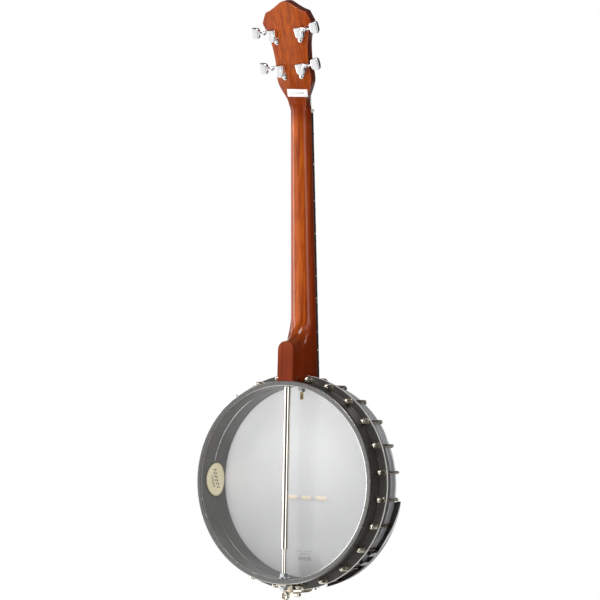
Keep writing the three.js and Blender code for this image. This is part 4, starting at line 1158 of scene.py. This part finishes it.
def playing_string(number, tuner):
    """A string from its loop under the tailpiece's lid over bridge and nut to its post."""
    i = number - 1
    radius, slot, x = STRING_RADII[i], NUT_SLOTS[i], BRIDGE_SLOTS[i]
    over_bridge = BRIDGE_TOP_Y - (0.3 + radius) + 0.25
    side, across, up_headstock, _ = tuner
    at_post = Vector((side * (across - 4.1 - radius), POST_TIP + 7, up_headstock))
    path = [(x * PEG_SPREAD, -75.9, -107.5), (x * PEG_SPREAD, -74.3 - radius, -101)]
    path += [(x, over_bridge, BRIDGE_Z - 0.5), (x, over_bridge, BRIDGE_Z + 0.5)]
    path += [TO_POT @ Vector((slot, -1.2 - radius, z)) for z in (0.5, 2.2)]
    path.append(POT.inverted() @ HEADSTOCK @ at_post)
    piece = Piece(f"wire_{number}", "string_steel", f"string_{number}")
    piece.add(sweep(path, radius, 8), STEEL)
    angles = [2 * pi * k / 16 for k in range(17)]
    loop = [(x * PEG_SPREAD + 1.5 * sin(a), -76.1, -109 + 1.5 * cos(a)) for a in angles]
    piece.add(sweep(loop, max(radius * 0.8, 0.2), 8, (0, 1, 0)), STEEL)
    piece.make(50)


def bridge():
    """Three feet, low arches between them and a hard dark top with four string notches."""
    right = [(8.5, 0)]
    for i in range(1, 11):
        t = i / 10
        right.append((8.5 * (1 - t) ** 2 * (1 + 2 * t) + 15 * t * t * (3 - 2 * t), 21 * t * (1 - t)))
    right += [(34, 0), (34, 2.2), (31.2, 3.2), (28.0, 5.4), (25.2, 8.2), (22.6, 9.6), (21, 10), (21, 10.6)]
    outline = [(-x, h) for x, h in right[::-1]] + right
    rings = []
    for sign in (-1, 1):
        rings.append([(x, BRIDGE_FOOT_Y - h, BRIDGE_Z + sign * (2.3 - 0.11 * h)) for x, h in outline])
    piece = Piece("bridge_wood", "maple", "bridge")
    piece.add(rounded(loft(rings), 0.3, 2, 40), MAPLE)
    rings = []
    z, low = BRIDGE_Z, BRIDGE_FOOT_Y - 10.6
    for x, in_notch in notched(BRIDGE_SLOTS, 21, 0.6):
        top = BRIDGE_TOP_Y + (0.45 if in_notch else 0.0)
        ring = [(x, low, z - 1.2), (x, top + 0.3, z - 0.95), (x, top, z - 0.6)]
        rings.append(ring + [(x, top, z + 0.6), (x, top + 0.3, z + 0.95), (x, low, z + 1.2)])
    piece.add(loft(rings), EBONY)
    piece.make(35)


def ribbon(line, widths, thickness):
    """A strip of sheet along a line of (y, z) points, with a half width at each."""
    rings = []
    for i, (y, z) in enumerate(line):
        before, after = line[max(i - 1, 0)], line[min(i + 1, len(line) - 1)]
        d = Vector((after[0] - before[0], after[1] - before[1])).normalized()
        out = Vector((-d.y, d.x)) * thickness / 2
        ring = []
        for side in (1, -1):
            for share in (-1, -0.97, -0.5, 0, 0.5, 0.97, 1):
                inset = 0.55 if abs(share) == 1 else 1.0
                x = widths[i] * (share * side)
                ring.append((x, y + side * out.x * inset, z + side * out.y * inset))
        rings.append(ring)
    return loft(rings)


def tailpiece():
    """A plated strap clamped at the rod's outer nut, under the flange and up over the hoop."""
    bends = [(-3.6, -140.9), (-10, -140.9), (-19.4, -141.0), (-21.6, -142.6), (-22.3, -145.4)]
    bends += [(-22.4, -149.0), (-23.3, -151.0), (-26, -151.6), (-45, -151.6), (-62, -151.6)]
    bends += [(-70.4, -150.4), (-75.8, -146.2), (-78.1, -140), (-78.0, -132), (-76, -116), (-72.7, -102.2)]
    line = flat_curve(bends, 5)
    narrow, wider = 8, 8
    widths = [narrow + (wider * smooth_step((z + 138) / 10) if y < -70 else 0) for y, z in line]
    piece = Piece("tail_strap", "nickel_plate", "tailpiece")
    piece.add(ribbon(line, widths, 1.5), NICKEL)
    boss = [(1.95, 0), (3.5, 0), (3.8, 0.3), (3.8, 6.7), (3.5, 7), (1.95, 7)]
    piece.add(lathe(boss, 28, True), NICKEL, along((0, -44, SCREW_Z), (0, -51, SCREW_Z)))
    for x in BRIDGE_SLOTS:
        x *= PEG_SPREAD
        piece.add(rod((x, -73.6, -109.6), (x, -76.9, -109.8), 0.9, 16, 0.2), NICKEL)
    piece.make(30)


def tail_lid():
    """The lid over the string loops: rounded corners, a slight bend, two ears round the strap."""
    bends = [(-81.2, -146.6), (-82.0, -143), (-82.2, -138), (-81.8, -130), (-79.4, -113), (-76.9, -99.8)]
    line = flat_curve(bends, 8)
    near_end = [min(abs(z + 146.6), abs(z + 99.6)) for _, z in line]
    widths = [17.2 - 3.2 * (1 - smooth_step(distance / 4)) for distance in near_end]
    piece = Piece("tail_lid_plate", "nickel_plate", "tailpiece_cover", body="tail_lid")
    piece.add(ribbon(line, widths, 1.1), NICKEL)
    ear = [(-82.0, -148.8), (-80.2, -150.3), (-77.4, -149.0), (-77.0, -145.6), (-79.4, -138.6)]
    ear.append((-81.9, -138.6))
    for x in (-9.2, 9.2):
        piece.add(rounded(prism(ear, x - 0.65, x + 0.65, "X"), 0.25, 2), NICKEL)
        piece.add(rod((x - 1.0, -80.2, -147.5), (x + 1.0, -80.2, -147.5), 1.3, 20, 0.3), NICKEL)
    piece.make(35)


def tail_screw():
    """The adjusting screw: knurled head towards the back, threaded shank to its boss."""
    piece = Piece("tail_screw_knob", "nickel_plate", "tailpiece_screw")
    piece.add(thread((0, -16.5, SCREW_Z), (0, -49.8, SCREW_Z), 1.6, 0.7, 0.3, 20), NICKEL)
    rings = []
    steps = 96
    for s in range(steps + 1):
        a = 2 * pi * s / steps
        r = 6.75 - 0.35 * (s % 4 in (1, 2))
        row = [(0, -14.6), (2.6, -14.4), (3.4, -13.0), (4.6, -12.5), (6.0, -12.9), (r, -13.7)]
        row += [(r, -16.2), (6.0, -17), (0, -17)]
        rings.append([(q * sin(a), y, SCREW_Z + q * cos(a)) for q, y in row])
    piece.add(loft(rings, closed=False, ends=False), NICKEL)
    # a slot across the knob's end, drawn as a near-black bar of painted shade
    piece.add(box((-3.0, -14.75, SCREW_Z - 0.5), (3.0, -14.35, SCREW_Z + 0.5)), HOLE_SHADE)
    piece.make(35)


# BUILD ----------------------------------------------------------------------------------------

rim()
head()
tension_hoop()
brackets()
armrest()
rim_label()
coordinator_rod()
rod_ends()
neck_bolts()
neck()
headstock()
truss_cover()
fingerboard()
string_nut()
for number, tuner in enumerate(TUNERS, 1):
    tuner_housing(number, tuner)
    tuner_button(number, tuner)
    string_post(number, tuner)
    playing_string(number, tuner)
bridge()
tailpiece()
tail_lid()
tail_screw()

# STAGE ----------------------------------------------------------------------------------------

STAGE_MIDDLE = Vector((0, 0, -0.3))


def toward(turn, rise):
    """The direction turned to the left of the camera's by one angle and raised by another."""
    a = pi + CAMERA_TURN - radians(turn)
    e = radians(rise)
    return Vector((sin(a) * cos(e), -cos(a) * cos(e), sin(e)))


def stage_mesh(name, points, faces, material):
    """A mesh of the stage that only the camera sees."""
    mesh = bpy.data.meshes.new(name)
    mesh.from_pydata(points, [], faces)
    mesh.materials.append(material)
    mesh.shade_smooth()
    obj = bpy.data.objects.new(name, mesh)
    obj.visible_diffuse = obj.visible_glossy = obj.visible_shadow = False
    obj.visible_transmission = obj.visible_volume_scatter = False
    bpy.context.scene.collection.objects.link(obj)


def floor_and_backdrop():
    """A white floor just under the banjo and a white sphere far round it."""
    n = Nodes("stage_white", (0.0, 0.0, 0.0), 1.0, specular=0.0)
    n.shade("Emission Color", (1.0, 1.0, 1.0, 1.0))
    n.shade("Emission Strength", 1.0)
    sides, floor_r, gap, backdrop_r = 96, 3.0, 0.02, 30
    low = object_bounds()[0].z - gap
    angles = [2 * pi * i / sides for i in range(sides)]
    points = [(floor_r * cos(a), floor_r * sin(a), low) for a in angles]
    stage_mesh("floor", points, [tuple(range(sides))], n.material)
    profile = [(sin(t / 12), -cos(t / 12)) for t in range(1, 38)]
    points, faces = lathe([(0, -1)] + profile + [(0, 1)], 48)
    stage_mesh("backdrop", [Vector(p) * backdrop_r for p in points], faces, n.material)


def softbox(name, turn, rise, distance, wide, high, power, mirrored=True, soft=True):
    """A rectangular lamp turned to the camera's left and raised, in degrees, that faces the banjo.
    mirrored shows it in reflections; soft lets it light matt surfaces."""
    data = bpy.data.lights.new(name, "AREA")
    data.shape = "RECTANGLE"
    data.size, data.size_y = wide, high
    data.energy = power
    lamp = bpy.data.objects.new(name, data)
    lamp.location = STAGE_MIDDLE + toward(turn, rise) * distance
    lamp.rotation_mode = "QUATERNION"
    lamp.rotation_quaternion = toward(turn, rise).to_track_quat("Z", "Y")
    lamp.visible_camera = False
    lamp.visible_glossy = mirrored
    lamp.visible_diffuse = soft
    bpy.context.scene.collection.objects.link(lamp)
    return lamp


# brightness of the studio's walls, by degrees to the left of the camera
WALLS = [(-180, 1.0), (-174, 1.0), (-168, 0.3), (-138, 0.3), (-135, 0.7), (-130, 0.7), (-127, 0.03)]
WALLS += [(-80, 0.03), (-70, 0.15), (-32, 0.15), (-27, 2.3)]
WALLS += [(-10, 2.3), (-6, 0.05), (44, 0.05), (54, 0.75), (72, 0.9), (180, 1.1)]
CEILING = 0.12
CEILING_FROM, CEILING_TO = 0.26, 0.42  # z of the direction where the walls give way to the ceiling
STUDIO_STRENGTH = 1.15


def surroundings():
    """The studio: a band of walls whose brightness changes all round, under a dark ceiling."""
    world = bpy.data.worlds.new("studio")
    world.use_nodes = True
    n = Tree(world.node_tree)
    background = n.tree.nodes["Background"]
    n.feed(background.inputs["Strength"], STUDIO_STRENGTH)
    place = n.node("ShaderNodeTexCoord", {}).outputs["Generated"]
    parts = []
    for axis in (toward(90, 0), toward(0, 0)):
        dot = n.node("ShaderNodeVectorMath", {0: place, 1: tuple(axis)}, operation="DOT_PRODUCT")
        parts.append(dot.outputs["Value"])
    angle = n.math("ARCTAN2", *parts)
    ramp = n.node("ShaderNodeValToRGB", {0: n.ramp(angle, -pi, pi, kind="LINEAR")})
    stops = ramp.color_ramp.elements
    for degrees, level in WALLS[1:-1]:
        stops.new((degrees + 180) / 360).color = (level, level, level, 1)
    for stop, (_, level) in ((stops[0], WALLS[0]), (stops[len(stops) - 1], WALLS[-1])):
        stop.color = (level, level, level, 1)
    height = n.node("ShaderNodeSeparateXYZ", {0: place}).outputs["Z"]
    rise = n.ramp(height, CEILING_FROM, CEILING_TO, kind="LINEAR")
    color = n.mix(rise, ramp.outputs["Color"], (CEILING, CEILING, CEILING))
    n.feed(background.inputs["Color"], color)
    bpy.context.scene.world = world
    bpy.context.scene.view_settings.view_transform = "Standard"


floor_and_backdrop()
surroundings()
softbox("overhead", 5, 52, 2.6, 1.2, 1.6, 70, soft=False)
softbox("overhead_soft", 20, 48, 2.6, 1.3, 1.3, 20, mirrored=False)
softbox("left_wall", 98, 4, 2.6, 0.8, 2.4, 28)
softbox("front_fill", 180, 35, 3.0, 1.6, 1.6, 46, mirrored=False)
softbox("front_card", -149, 5, 3.2, 1.3, 1.1, 7)
softbox("right_fill", -100, 8, 2.6, 0.5, 2.4, 9, mirrored=False)
back_fill = softbox("back_fill", 31, -14, 3.0, 1.6, 1.6, 42, mirrored=False)
back_fill.visible_transmission = False
